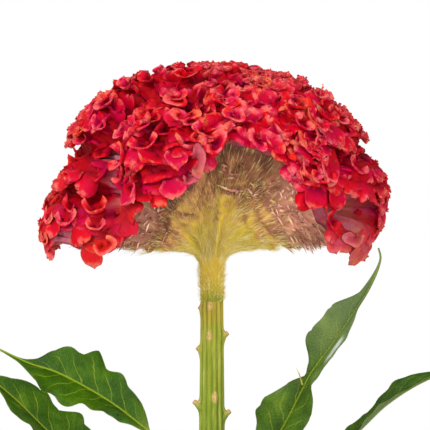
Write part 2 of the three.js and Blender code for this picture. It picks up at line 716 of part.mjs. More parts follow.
// The upper and lower face of a leaf as two grids of points, joined round the edge. Both faces are
// split into triangles alike, so that the blade is nowhere thinner than its edge.
function makeLeaf({ midrib, faces, petiole, widths, folds, wave, waves }) {
  const stations = midrib.map((p) => new THREE.Vector3(...p));
  const curve = new THREE.CatmullRomCurve3(stations, false, "centripetal");
  const shares = [];
  for (let i = 0; i < PETIOLE_STEPS; i++) shares.push((petiole * i) / PETIOLE_STEPS);
  for (let i = 0; i <= BLADE_STEPS; i++) shares.push(lerp(petiole, 1, i / BLADE_STEPS));
  const sides = [[], []];
  for (const share of shares) {
    const middle = curve.getPointAt(share);
    const tangent = curve.getTangentAt(share);
    const turn = share * (faces.length - 1);
    const from = Math.min(Math.floor(turn), faces.length - 2);
    const face = new THREE.Vector3(...faces[from]).lerp(new THREE.Vector3(...faces[from + 1]), turn - from);
    const right = tangent.clone().cross(face).normalize();
    const up = right.clone().cross(tangent).normalize();
    const blade = smoothstep(share, petiole * 0.7, petiole + 0.1);
    for (const [side, sign] of [1, -1].entries()) {
      for (const u of ACROSS) {
        const half = u < 0 ? 0 : 1;
        const tilt = degToRad(folds[half] * blade);
        const crinkle = 1 + 0.07 * Math.sin(2 * Math.PI * waves * 2 * share + 1.5 * half);
        const spread = amongst(widths[half], share) * bladeShape(share, petiole) * crinkle;
        const width = Math.max(PETIOLE_HALF * (1 - share * 0.7), spread);
        const sag = wave * blade * u * u * bladeShape(share, petiole);
        const lift = sag * Math.sin(2 * Math.PI * waves * share + 2.1 * half);
        const rim = lerp(LEAF_THICKNESS, LEAF_EDGE, Math.abs(u));
        const round = 2 * PETIOLE_HALF * Math.sqrt(1 - (u * 0.85) ** 2);
        const thickness = lerp(round, rim, blade);
        sides[side].push(
          middle
            .clone()
            .addScaledVector(right, u * width * Math.cos(tilt))
            .addScaledVector(up, Math.abs(u) * width * Math.sin(tilt) + lift + (sign * thickness) / 2),
        );
      }
    }
  }
  const m = ACROSS.length;
  const grid = shares.length * m;
  const triangles = [];
  for (let i = 0; i + 1 < shares.length; i++) {
    for (let k = 0; k + 1 < m; k++) {
      const a = i * m + k;
      triangles.push(a, a + 1, a + m + 1, a, a + m + 1, a + m);
      triangles.push(grid + a, grid + a + m + 1, grid + a + 1, grid + a, grid + a + m, grid + a + m + 1);
    }
    const left = i * m;
    const right = left + m - 1;
    triangles.push(left, left + m, grid + left + m, left, grid + left + m, grid + left);
    triangles.push(right, grid + right, grid + right + m, right, grid + right + m, right + m);
  }
  const tip = (shares.length - 1) * m;
  for (let k = 0; k + 1 < m; k++) {
    triangles.push(k, grid + k, grid + k + 1, k, grid + k + 1, k + 1);
    triangles.push(tip + k, tip + k + 1, grid + tip + k + 1, tip + k, grid + tip + k + 1, grid + tip + k);
  }
  const leaf = solidOf(geometryFrom(sides.flat(), triangles));
  return leaf.subtract(stemRoom);
}

const clay = finish(0xb5653f, 0.85);
const earth = finish(0x2c2018, 0.95);
const green = finish(0x7f9c3a, 0.55);
const leafGreen = finish(0x3f7d2c, 0.5);
const straw = finish(0xb9a63a, 0.8);
const scarlet = finish(0xc9142f, 0.7);

const plant = new THREE.Group();
plant.add(piece("pot", geometryOf(makePot()), clay));
plant.add(piece("soil", geometryOf(makeSoil()), earth));
plant.add(piece("stem", geometryOf(makeStem()), green));
plant.add(piece("fan", geometryOf(makeFan()), straw));
plant.add(piece("crest", geometryOf(makeCrest()), scarlet));
const leaves = [...UPPER_LEAVES, ...LOWER_LEAVES.map(lowerLeaf)];
for (const [i, leaf] of leaves.entries()) {
  plant.add(piece(`leaf_${i + 1}`, geometryOf(makeLeaf(leaf)), leafGreen.clone()));
}

export default plant;
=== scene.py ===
# A potted cockscomb (crested celosia) in flower: the finished look of every visible surface.
# Lengths are in millimetres until a mesh is made. Azimuth 0 is the front, -Y, and turns towards +X.

import itertools
import math

import bpy
import numpy as np
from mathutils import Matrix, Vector


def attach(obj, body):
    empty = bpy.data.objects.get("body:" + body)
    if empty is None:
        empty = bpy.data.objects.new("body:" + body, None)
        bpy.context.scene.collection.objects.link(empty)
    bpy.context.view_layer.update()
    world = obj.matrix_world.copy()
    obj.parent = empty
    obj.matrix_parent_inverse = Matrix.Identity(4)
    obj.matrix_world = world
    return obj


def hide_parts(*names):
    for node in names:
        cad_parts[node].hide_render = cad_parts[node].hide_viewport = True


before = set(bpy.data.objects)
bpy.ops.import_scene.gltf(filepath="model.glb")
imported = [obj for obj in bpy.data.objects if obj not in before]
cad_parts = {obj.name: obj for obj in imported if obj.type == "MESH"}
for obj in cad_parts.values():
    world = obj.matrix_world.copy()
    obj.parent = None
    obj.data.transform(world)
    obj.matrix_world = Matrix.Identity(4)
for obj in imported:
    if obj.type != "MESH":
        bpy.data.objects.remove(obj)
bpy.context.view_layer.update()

MM = 0.001

# The camera, as the photograph was taken: level, from in front, with a long lens.
PHOTO_WIDTH = 430
CAMERA_PLACE = (1.3, -1200, 246.3)
FOCAL_PIXELS = 2817
SENSOR_WIDTH = 36

# Pot and soil
POT_HEIGHT = 105
POT_TOP_RADIUS = 65
POT_FOOT_RADIUS = 45
POT_WALL = 5
POT_FLOOR = 7
SOIL_TOP = 92
SOIL_CLEARANCE = 0.4
SOIL_BUMP = 1.6
CRUMB_COUNT = 300

# Stem
STEM_FOOT = 62
STEM_TOP = 209
STEM_FOOT_RADIUS = 6.3
STEM_TOP_RADIUS = 4.6
STEM_RIBS = 12
RIB_DEPTH = 0.38
# Scars and stubs that fallen leaves left: azimuth, height, and how far each stands out.
LEAF_SCARS = [
    (-80, 207, 1.2), (-12, 208, 0.8), (82, 195.5, 2.6), (-15, 195, 0.9), (-85, 189.5, 2), (15, 169, 1),
    (-78, 166, 3.6), (80, 162, 3.4), (150, 201, 1.6), (-150, 182, 2.2), (165, 164, 2.6),
]
# Only scars that stand out further than this keep a stub of the leaf's stalk.
LEAST_STUB = 1.1

# Head
# The gap between the crest's solid and the fan's.
SEAT_GAP = 0.3
NECK_Z = 225
NECK_RADIUS = 5.2
HEAD_MIDDLE = np.array([0, 0, 255.0])
DOME_HALF = np.array([67, 44, 51.5])
# The share of the way up within which the folds begin, and how far the crest reaches out past the fan.
RIM_SHARE = 0.1
RIM_LIP = 5
FAN_TOP_Z = 268
# Lobes of the dome: azimuth, elevation, half widths in both, and rise.
LOBES = [
    (-72, -18, 30, 13, 8),
    (88, 2, 26, 28, 4.5),
    (-26, 14, 20, 22, 9),
    (-90, 10, 24, 12, -4),
    (45, 38, 26, 22, 3),
    (-140, 10, 24, 22, 5),
    (140, 24, 30, 20, 4),
]
# Folds between lobes: depth, half width, and a run of (azimuth, elevation) points.
FOLDS = [
    (11, 6, [(-46, -8), (-50, 14), (-54, 34), (-46, 52), (-28, 64), (0, 68), (30, 64)]),
    (9, 5, [(-122, 14), (-90, 17), (-66, 19), (-54, 20)]),
    (12, 5, [(-84, 3), (-70, 1), (-48, -1)]),
    (12, 5, [(52, -4), (64, -6), (76, -5)]),
    (9, 6, [(150, -10), (146, 15), (158, 40), (185, 58), (220, 66)]),
]
# The crest's lower edge, where it meets the fan: (azimuth, elevation) round the head.
RIM = np.array([
    (-180, 6), (-150, -2), (-120, -12), (-100, -16), (-86, -18), (-74, -17), (-62, -19), (-50, -21),
    (-44, -13), (-38, 2), (-26, 2), (-14, 6), (-4, 20), (8, 31), (22, 27), (36, 20), (45, 11), (52, -4),
    (59, -13), (67, -17), (78, -19), (92, -18), (110, -14), (130, -8), (155, 2), (180, 6),
], float)
# Rows of ruffles from the rim to the top: share of the way up, ruffle length, band height, swing, and
# whether the row stands only on the two long ends of the dome.
ROWS = [
    (0.02, 15, 9, 4.2, False),
    (0.12, 15, 8, 4.2, True),
    (0.2, 15, 8, 4.2, False),
    (0.3, 15, 7.5, 4.2, True),
    (0.38, 15, 7.5, 4.2, False),
    (0.48, 15, 7, 4.0, True),
    (0.56, 14, 7, 4, False),
    (0.71, 14, 7, 3.8, False),
    (0.87, 13, 6.5, 3.2, False),
]
# The lower rows between them: the shares of the way up, and one length, height and swing for all.
ROWS_BETWEEN = [0.07, 0.16, 0.25, 0.34, 0.43, 0.52, 0.635, 0.79, 0.94]
BETWEEN_LENGTH = 15
BETWEEN_HEIGHT = 7.2
BETWEEN_SWING = 3.6
# The first of those rows' numbers, and the rows that bear lobes only on the two ends of the dome.
FIRST_BETWEEN = 20
PLAIN_ROWS = (20, 22, 24)
# A fold this deep leaves its ruffles their least height, a share of the full one.
FOLD_BARE = 14
LEAST_STATURE = 0.12
# A fold this deep is painted in full shade inside.
FOLD_FULL_SHADE = 8
# How far the fan's underside sags at its two long ends.
FAN_SAG = 3


# Small helpers on arrays of numbers

def lerp(a, b, share):
    return a + (b - a) * share


def smoothstep(value, low, high):
    share = np.clip((value - low) / (high - low), 0, 1)
    return share * share * (3 - 2 * share)


def normalised(vectors):
    return vectors / np.maximum(np.linalg.norm(vectors, axis=-1, keepdims=True), 1e-9)


def turn_between(a, b):
    """The shorter way round between two azimuths."""
    return (np.asarray(a) - b + 180) % 360 - 180


def aim(azimuth, elevation):
    """The direction at an azimuth from the front towards +X and an elevation, in degrees."""
    a, e = np.broadcast_arrays(np.radians(azimuth), np.radians(elevation))
    return np.stack([np.cos(e) * np.sin(a), -np.cos(e) * np.cos(a), np.sin(e)], -1)


def azimuths(count):
    """A row of evenly spaced azimuths all the way round."""
    return (np.arange(count) * 360 / count - 180)[None, :]


def ring_turns(count):
    """Evenly spaced angles round a ring, in radians."""
    return np.arange(count) * 2 * math.pi / count


def ring_points(turns, radius, height):
    return np.stack([radius * np.cos(turns), radius * np.sin(turns), height + 0 * turns], -1)


def path_lengths(points):
    """How far along a path each of its points lies."""
    return np.concatenate([[0], np.cumsum(np.linalg.norm(np.diff(points, axis=0), axis=1))])


def leaning(first, second, angle):
    """The direction at an angle from one direction towards another."""
    return first * np.cos(angle)[..., None] + second * np.sin(angle)[..., None]


def waves(points, size, seed, count=14):
    """A smooth random field of about unit height, with hills a size apart."""
    rng = np.random.default_rng(seed)
    directions = normalised(rng.normal(size=(count, points.shape[-1])))
    pace = 2 * math.pi / size * rng.uniform(0.7, 1.3, (count, 1))
    phases = rng.uniform(0, 2 * math.pi, count)
    return np.sin(points @ (directions * pace).T + phases).sum(-1) / math.sqrt(count / 2)


def zone(azimuth, elevation, areas):
    """1 inside any of some oval areas of the head, (azimuth, elevation, half width, half height), else 0."""
    inside = np.zeros(np.broadcast(azimuth, elevation).shape)
    for middle, level, wide, tall in areas:
        across = turn_between(azimuth, middle) / wide
        up = (elevation - level) / tall
        inside = np.maximum(inside, np.exp(-((across**2 + up**2) ** 2)))
    return inside


# The dome that the fan and the crest share

def angle_to_fold(azimuth, elevation, run):
    nearest = np.full(np.shape(azimuth), 180.0)
    flat = np.cos(np.radians(elevation))
    for (a0, e0), (a1, e1) in zip(run, run[1:]):
        ax, ay = turn_between(a0, azimuth) * flat, e0 - elevation
        bx, by = turn_between(a1, azimuth) * flat, e1 - elevation
        length2 = (bx - ax) ** 2 + (by - ay) ** 2
        along = np.clip(-(ax * (bx - ax) + ay * (by - ay)) / length2, 0, 1)
        nearest = np.minimum(nearest, np.hypot(lerp(ax, bx, along), lerp(ay, by, along)))
    return nearest


def fold_depth(azimuth, elevation):
    depth = np.zeros(np.shape(azimuth))
    for deep, width, run in FOLDS:
        away = angle_to_fold(azimuth, elevation, run) / width
        depth = np.maximum(depth, deep * np.exp(-away * away))
    return depth


# How much painted shade a fold puts on the crest's flesh, from 0 to 1.
def fold_shade(azimuth, elevation):
    return np.clip(fold_depth(azimuth, elevation) / FOLD_FULL_SHADE, 0, 1)


def lobed_reach(azimuth, elevation):
    """How far the dome with its lobes, but not its folds, reaches from the head's middle."""
    reach = 1 / np.linalg.norm(aim(azimuth, elevation) / DOME_HALF, axis=-1)
    for middle, level, wide, tall, rise in LOBES:
        across = turn_between(azimuth, middle) / wide
        up = (elevation - level) / tall
        reach = reach + rise * np.exp(-(across**2) - up**2)
    return reach


def rim_elevation(azimuth):
    turn = turn_between(azimuth, 0)
    i = np.clip(np.searchsorted(RIM[:, 0], turn) - 1, 0, len(RIM) - 2)
    share = smoothstep(turn, RIM[i, 0], RIM[i + 1, 0])
    return lerp(RIM[i, 1], RIM[i + 1, 1], share)


def elevation_at(azimuth, share):
    """The elevation at a share of the way from the rim, 0, to the top of the dome, 1."""
    return lerp(rim_elevation(azimuth), 90, share)


def sunk_by(azimuth, share):
    return fold_depth(azimuth, elevation_at(azimuth, share)) * smoothstep(share, 0, RIM_SHARE)


def head_point(azimuth, elevation, reach):
    return aim(azimuth, elevation) * np.asarray(reach)[..., None] + HEAD_MIDDLE


def smooth_point(azimuth, share):
    elevation = elevation_at(azimuth, share)
    return head_point(azimuth, elevation, lobed_reach(azimuth, elevation))


def skin_point(azimuth, share, raised=0):
    elevation = elevation_at(azimuth, share)
    reach = lobed_reach(azimuth, elevation) - sunk_by(azimuth, share) + raised
    return head_point(azimuth, elevation, reach)


def seat_point(azimuth, share, gap=0):
    """The face between the fan and the crest, from the rim, 0, in to the axis, 1."""
    elevation = rim_elevation(azimuth)
    rim = head_point(azimuth, elevation, lobed_reach(azimuth, elevation) - RIM_LIP)
    radius = (np.hypot(rim[..., 0], rim[..., 1]) - gap) * (1 - share)
    point = aim(azimuth, 0 * radius) * radius[..., None]
    point[..., 2] = lerp(FAN_TOP_Z, rim[..., 2], (1 - share) ** 1.5) - gap
    return point


def fan_point(azimuth, share):
    """The fan's underside: the neck from the stem's top, -1, and then out from 0 to the rim, 1."""
    azimuth, share = np.broadcast_arrays(np.asarray(azimuth, float), np.asarray(share, float))
    rim = seat_point(azimuth, 0 * azimuth, SEAT_GAP)
    rim_radius = np.hypot(rim[..., 0], rim[..., 1])
    climb = np.maximum(0, rim[..., 2] - NECK_Z - 8)
    s = np.clip(share, 0, 1)
    weights = [(1 - s) ** 3, 3 * s * (1 - s) ** 2, 3 * s * s * (1 - s), s**3]
    radii = [NECK_RADIUS, NECK_RADIUS + 0.5, lerp(NECK_RADIUS, rim_radius, 0.2), rim_radius]
    sag = FAN_SAG * np.abs(np.sin(np.radians(azimuth)))
    heights = [NECK_Z, NECK_Z + 9, NECK_Z + 8.5 - sag + climb * 0.35, rim[..., 2]]
    radius = sum(w * r for w, r in zip(weights, radii))
    height = sum(w * h for w, h in zip(weights, heights))
    down = np.clip(-share, 0, 1)
    radius = radius - (NECK_RADIUS - STEM_TOP_RADIUS) * down
    height = height - (NECK_Z - STEM_TOP) * down
    point = aim(azimuth, 0 * azimuth) * radius[..., None]
    point[..., 2] = height
    return point


# Meshes from arrays of points and faces

def grid_faces(rows, columns, wrap_rows=False, wrap_columns=False):
    """The four-sided faces of a grid of points that is laid out row by row."""
    i = np.arange(rows if wrap_rows else rows - 1)[:, None]
    j = np.arange(columns if wrap_columns else columns - 1)[None, :]
    below, right = (i + 1) % rows, (j + 1) % columns
    corners = [i * columns + j, i * columns + right, below * columns + right, below * columns + j]
    return np.stack(np.broadcast_arrays(*corners), -1).reshape(-1, 4)


def fan_faces(centre, ring):
    """Triangles from one point to a closed ring of points."""
    return np.stack([np.full(len(ring), centre), ring, np.roll(ring, -1)], -1)


def copies(local, count, each):
    """The faces of one small body, repeated for a count of bodies of as many points each."""
    local = np.array(local)
    return (local[None] + (np.arange(count) * each)[:, None, None]).reshape(-1, local.shape[-1])


def outward(points, faces):
    """The faces of a closed body, turned so that they all look out."""
    volume = 0
    for group in faces:
        a = points[group[:, 0]]
        for k in range(1, group.shape[1] - 1):
            volume += np.einsum("ij,ij->", a, np.cross(points[group[:, k]], points[group[:, k + 1]]))
    return faces if volume > 0 else [group[:, ::-1] for group in faces]


def join(parts):
    """Several (points, faces, attributes) as one."""
    points, faces, attributes, start = [], [], {}, 0
    for part_points, part_faces, part_attributes in parts:
        points.append(part_points)
        faces += [group + start for group in part_faces]
        for key, values in part_attributes.items():
            attributes.setdefault(key, []).append(values)
        start += len(part_points)
    return np.concatenate(points), faces, {k: np.concatenate(v) for k, v in attributes.items()}


def shut_rings(rings, **attributes):
    """A closed body over rings of points, a point at either end of them, with a value per ring point."""
    count, columns = rings.shape[:2]
    ends = np.stack([rings[0].mean(0), rings[-1].mean(0)])
    points = np.concatenate([rings.reshape(-1, 3), ends])
    first, last = count * columns, count * columns + 1
    faces = [
        grid_faces(count, columns, wrap_columns=True),
        fan_faces(first, np.arange(columns)[::-1]),
        fan_faces(last, np.arange(columns) + (count - 1) * columns),
    ]
    whole = {}
    for key, values in attributes.items():
        whole[key] = np.concatenate([values.ravel(), [values[0].mean(), values[-1].mean()]])
    return points, outward(points, faces), whole


# Edges that turn more than this many degrees, such as a lobe's thin rim, are shaded sharp.
SHARP_ANGLE = 65


def new_object(name, points, faces, material):
    mesh = bpy.data.meshes.new(name)
    mesh.vertices.add(len(points))
    mesh.vertices.foreach_set("co", (points * MM).astype(np.float32).ravel())
    corners = np.concatenate([group.ravel() for group in faces])
    sizes = np.concatenate([np.full(len(group), group.shape[1]) for group in faces])
    mesh.loops.add(len(corners))
    mesh.loops.foreach_set("vertex_index", corners.astype(np.int32))
    mesh.polygons.add(len(sizes))
    mesh.polygons.foreach_set("loop_start", (np.cumsum(sizes) - sizes).astype(np.int32))
    mesh.update(calc_edges=True)
    mesh.materials.append(material)
    made = bpy.data.objects.new(name, mesh)
    bpy.context.scene.collection.objects.link(made)
    return made


def add_piece(name, part, material, replaces=()):
    """A piece of the object from (points, faces, attributes), riding on the one body."""
    points, faces, attributes = part
    piece = new_object(name, points, faces, material)
    for key, values in attributes.items():
        attribute = piece.data.attributes.new(key, "FLOAT", "POINT")
        attribute.data.foreach_set("value", values.astype(np.float32))
    piece.data.validate()
    piece.data.shade_smooth()
    piece.data.set_sharp_from_angle(angle=math.radians(SHARP_ANGLE))
    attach(piece, "root")
    if replaces:
        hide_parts(*replaces)


# Materials

def srgb(red, green, blue):
    """A colour as the eye names it, 0 to 255, for a shader."""
    parts = [c / 255 for c in (red, green, blue)]
    return tuple(c / 12.92 if c <= 0.04045 else ((c + 0.055) / 1.055) ** 2.4 for c in parts) + (1.0,)


class Wire:
    """A value on its way through a material's nodes, which the signs of arithmetic work on."""

    def __init__(self, finish, socket):
        self.finish = finish
        self.socket = socket

    def __add__(self, other):
        return self.finish.math("ADD", self, other)

    def __sub__(self, other):
        return self.finish.math("SUBTRACT", self, other)

    def __mul__(self, other):
        return self.finish.math("MULTIPLY", self, other)

    def __pow__(self, other):
        return self.finish.math("POWER", self, other)

    def __abs__(self):
        return self.finish.math("ABSOLUTE", self)


class Finish:
    """A material, with short ways to add its nodes."""

    def __init__(self, name, **uniform):
        self.material = bpy.data.materials.new(name)
        self.material.use_nodes = True
        self.tree = self.material.node_tree
        self.shader = self.tree.nodes["Principled BSDF"]
        for key, value in uniform.items():
            self.shader.inputs[key.replace("_", " ")].default_value = value
        self.own_place = self.node("ShaderNodeTexCoord", {}, "Object")

    def node(self, kind, inputs, output=0, **settings):
        """An output of a new node, whose inputs are plain values or other nodes' outputs."""
        node = self.tree.nodes.new(kind)
        for key, value in settings.items():
            setattr(node, key, value)
        for key, value in inputs.items():
            if isinstance(value, Wire):
                self.tree.links.new(value.socket, node.inputs[key])
            else:
                node.inputs[key].default_value = value
        return Wire(self, node.outputs[output])

    def attribute(self, name):
        return self.node("ShaderNodeAttribute", {}, "Fac", attribute_name=name)

    def math(self, operation, a, b=0):
        return self.node("ShaderNodeMath", {0: a, 1: b}, operation=operation)

    def stretched(self, by):
        return self.node("ShaderNodeVectorMath", {0: self.own_place, 1: by}, operation="MULTIPLY")

    def combined(self, x, y):
        return self.node("ShaderNodeCombineXYZ", {0: x, 1: y})

    def noise(self, size, detail=2, roughness=0.5, at=None):
        """Noise with spots a size in millimetres."""
        inputs = {"Scale": 1 / (size * MM), "Detail": detail, "Roughness": roughness}
        return self.node("ShaderNodeTexNoise", {**inputs, "Vector": at or self.own_place}, "Fac")

    def wobble(self, amount, size, detail=2, roughness=0.5):
        """Noise that runs softly from an amount below nothing to as much above it."""
        return self.step(self.noise(size, detail, roughness), 0.3, 0.7, -amount, amount)

    def cells(self, size, feature="F1"):
        inputs = {"Scale": 1 / (size * MM), "Vector": self.own_place}
        return self.node("ShaderNodeTexVoronoi", inputs, "Distance", feature=feature)

    def step(self, value, low, high, to_low=0, to_high=1):
        inputs = {"Value": value, "From Min": low, "From Max": high, "To Min": to_low, "To Max": to_high}
        return self.node("ShaderNodeMapRange", inputs, interpolation_type="SMOOTHSTEP")

    def mix(self, share, a, b):
        """A share of b over a, each a node's colour or plain (red, green, blue)."""
        a, b = (colour if isinstance(colour, Wire) else srgb(*colour) for colour in (a, b))
        return self.node("ShaderNodeMix", {0: share, 6: a, 7: b}, 2, data_type="RGBA")

    def ramp(self, value, stops):
        """Colours along a value, by stops of (value, red, green, blue)."""
        wire = self.node("ShaderNodeValToRGB", {"Fac": value}, "Color")
        elements = wire.socket.node.color_ramp.elements
        while len(elements) < len(stops):
            elements.new(0.5)
        for element, (position, *colour) in zip(elements, stops):
            element.position = position
            element.color = srgb(*colour)
        return wire

    def colour(self, wire):
        self.tree.links.new(wire.socket, self.shader.inputs["Base Color"])

    def bump(self, height, depth, strength=1):
        """Relief of a height field, a depth in millimetres from 0 to 1."""
        inputs = {"Height": height, "Distance": depth * MM, "Strength": strength}
        self.tree.links.new(self.node("ShaderNodeBump", inputs).socket, self.shader.inputs["Normal"])


# The crest. Its zones are ovals of the head: azimuth, elevation, half width and half height.

# Where no ruffle stands, and where the skin between the ruffles is smooth
BARE_PATCHES = [(-66, -17, 8, 4.5), (62, -5, 16, 5.5)]
SMOOTH_SKIN = [(-66, -16, 12, 4.5), (-50, 6, 5, 12), (-56, 18, 9, 3.5), (62, -5, 17, 6), (66, -13, 12, 4)]
# Where small knobs crowd
GRANULAR = [
    (94, 24, 20, 42), (62, 60, 40, 13), (10, 82, 80, 8),
    (-96, 18, 12, 50), (175, 44, 46, 22), (-150, -2, 26, 12),
]
# Where the rim's lobes have dried to a dull pink, where they are large and mauve, and where they hang longest
DRIED = [(-9, 12, 6, 9)]
MAUVE = [(74, -18, 17, 7)]
HANGING = [(-53, -21, 11, 6)]
# Where the red turns to orange and the rims are paler
WARM = [(-72, -20, 30, 7), (-52, -20, 12, 8), (-40, -6, 12, 8), (74, -18, 18, 7), (-92, 4, 17, 36)]
# A ruffle's section from its root, below the skin, to its rim, and how far apart the sections stand.
BAND_STATIONS = np.array([-0.16, 0, 0.2, 0.4, 0.6, 0.8, 0.93, 1])
BAND_STEP = 1.05
# Half the thickness of a ruffle at its root and near its rim.
ROOT_HALF = 1.2
EDGE_HALF = 0.62
# How tall a ruffle stays, of its full height, under the lobes.
SMOOTH_BAND = 0.5
# How far the fleshy dome is filled out between the ruffles.
PLUMP = 1.6
# How high the crest may stand over the dome: at its foot, at its top, and more on its front and back.
CEILING = (5.2, 6.4, 5.5)
LOBE_ROWS = 8
LOBE_COLUMNS = 14
LOBE_LENGTH = 10
LOBE_HALF = 5.8
# A ruffle lower than this, of its full height, bears no lobes.
LEAST_LOBED = 0.36
# Of the lobes where the crest is smooth, the share that are open cups.
CUP_SHARE = 0.34
GRAIN_COUNT = 2600


def pressed_in(points):
    """Points of the head, brought down softly where they stand higher over the dome than the ceiling."""
    spokes = points - HEAD_MIDDLE
    reach = np.linalg.norm(spokes, axis=-1)
    azimuth = np.degrees(np.arctan2(spokes[..., 0], -spokes[..., 1]))
    elevation = np.degrees(np.arcsin(spokes[..., 2] / reach))
    foot, top, extra = CEILING
    flat = np.maximum(smoothstep(np.abs(spokes[..., 0] / reach), 0.6, 0.9), smoothstep(elevation, 42, 68))
    soft = lerp(foot, top, smoothstep(elevation, 0, 70)) + extra * (1 - flat)
    soft = soft + 0.5 * waves(spokes / reach[..., None] * 55, 7, 61)
    over = np.maximum(0, reach - lobed_reach(azimuth, elevation))
    pressed = reach - over + soft * np.tanh(over / soft)
    return HEAD_MIDDLE + spokes * (pressed / reach)[..., None]


def at_the_ends(azimuth, low, high):
    """1 on the two long ends of the dome and 0 on its front and back."""
    return smoothstep(np.abs(np.sin(np.radians(azimuth))), low, high)


def band_path(share):
    """Evenly spaced places on a row round the head, with the ways along, out and down."""
    turns = np.linspace(-180, 180, 721)
    reached = path_lengths(smooth_point(turns, share))
    t = np.arange(int(reached[-1] / BAND_STEP)) / int(reached[-1] / BAND_STEP)
    azimuth = np.interp(t * reached[-1], reached, turns)
    along = normalised(smooth_point(azimuth + 2, share) - smooth_point(azimuth - 2, share))
    up = normalised(smooth_point(azimuth, share + 0.02) - smooth_point(azimuth, share - 0.02))
    out = normalised(np.cross(along, up))
    return t, reached[-1], azimuth, along, out, normalised(np.cross(along, out))


def ruffle_stature(azimuth, elevation, share, short, between):
    """How much of its full height a ruffle may keep: less in folds, on smooth skin or, if short, in front."""
    stature = 1 - sunk_by(azimuth, share) / FOLD_BARE
    if short:
        stature = stature * at_the_ends(azimuth, 0.45, 0.8)
    stature = stature * (1 - zone(azimuth, elevation, BARE_PATCHES))
    if between:
        stature = stature * (1 - 0.9 * zone(azimuth, elevation, SMOOTH_SKIN))
    return stature


def sheet_normals(points):
    d_along = np.roll(points, -1, axis=1) - np.roll(points, 1, axis=1)
    return normalised(np.cross(d_along, np.gradient(points, axis=0)))


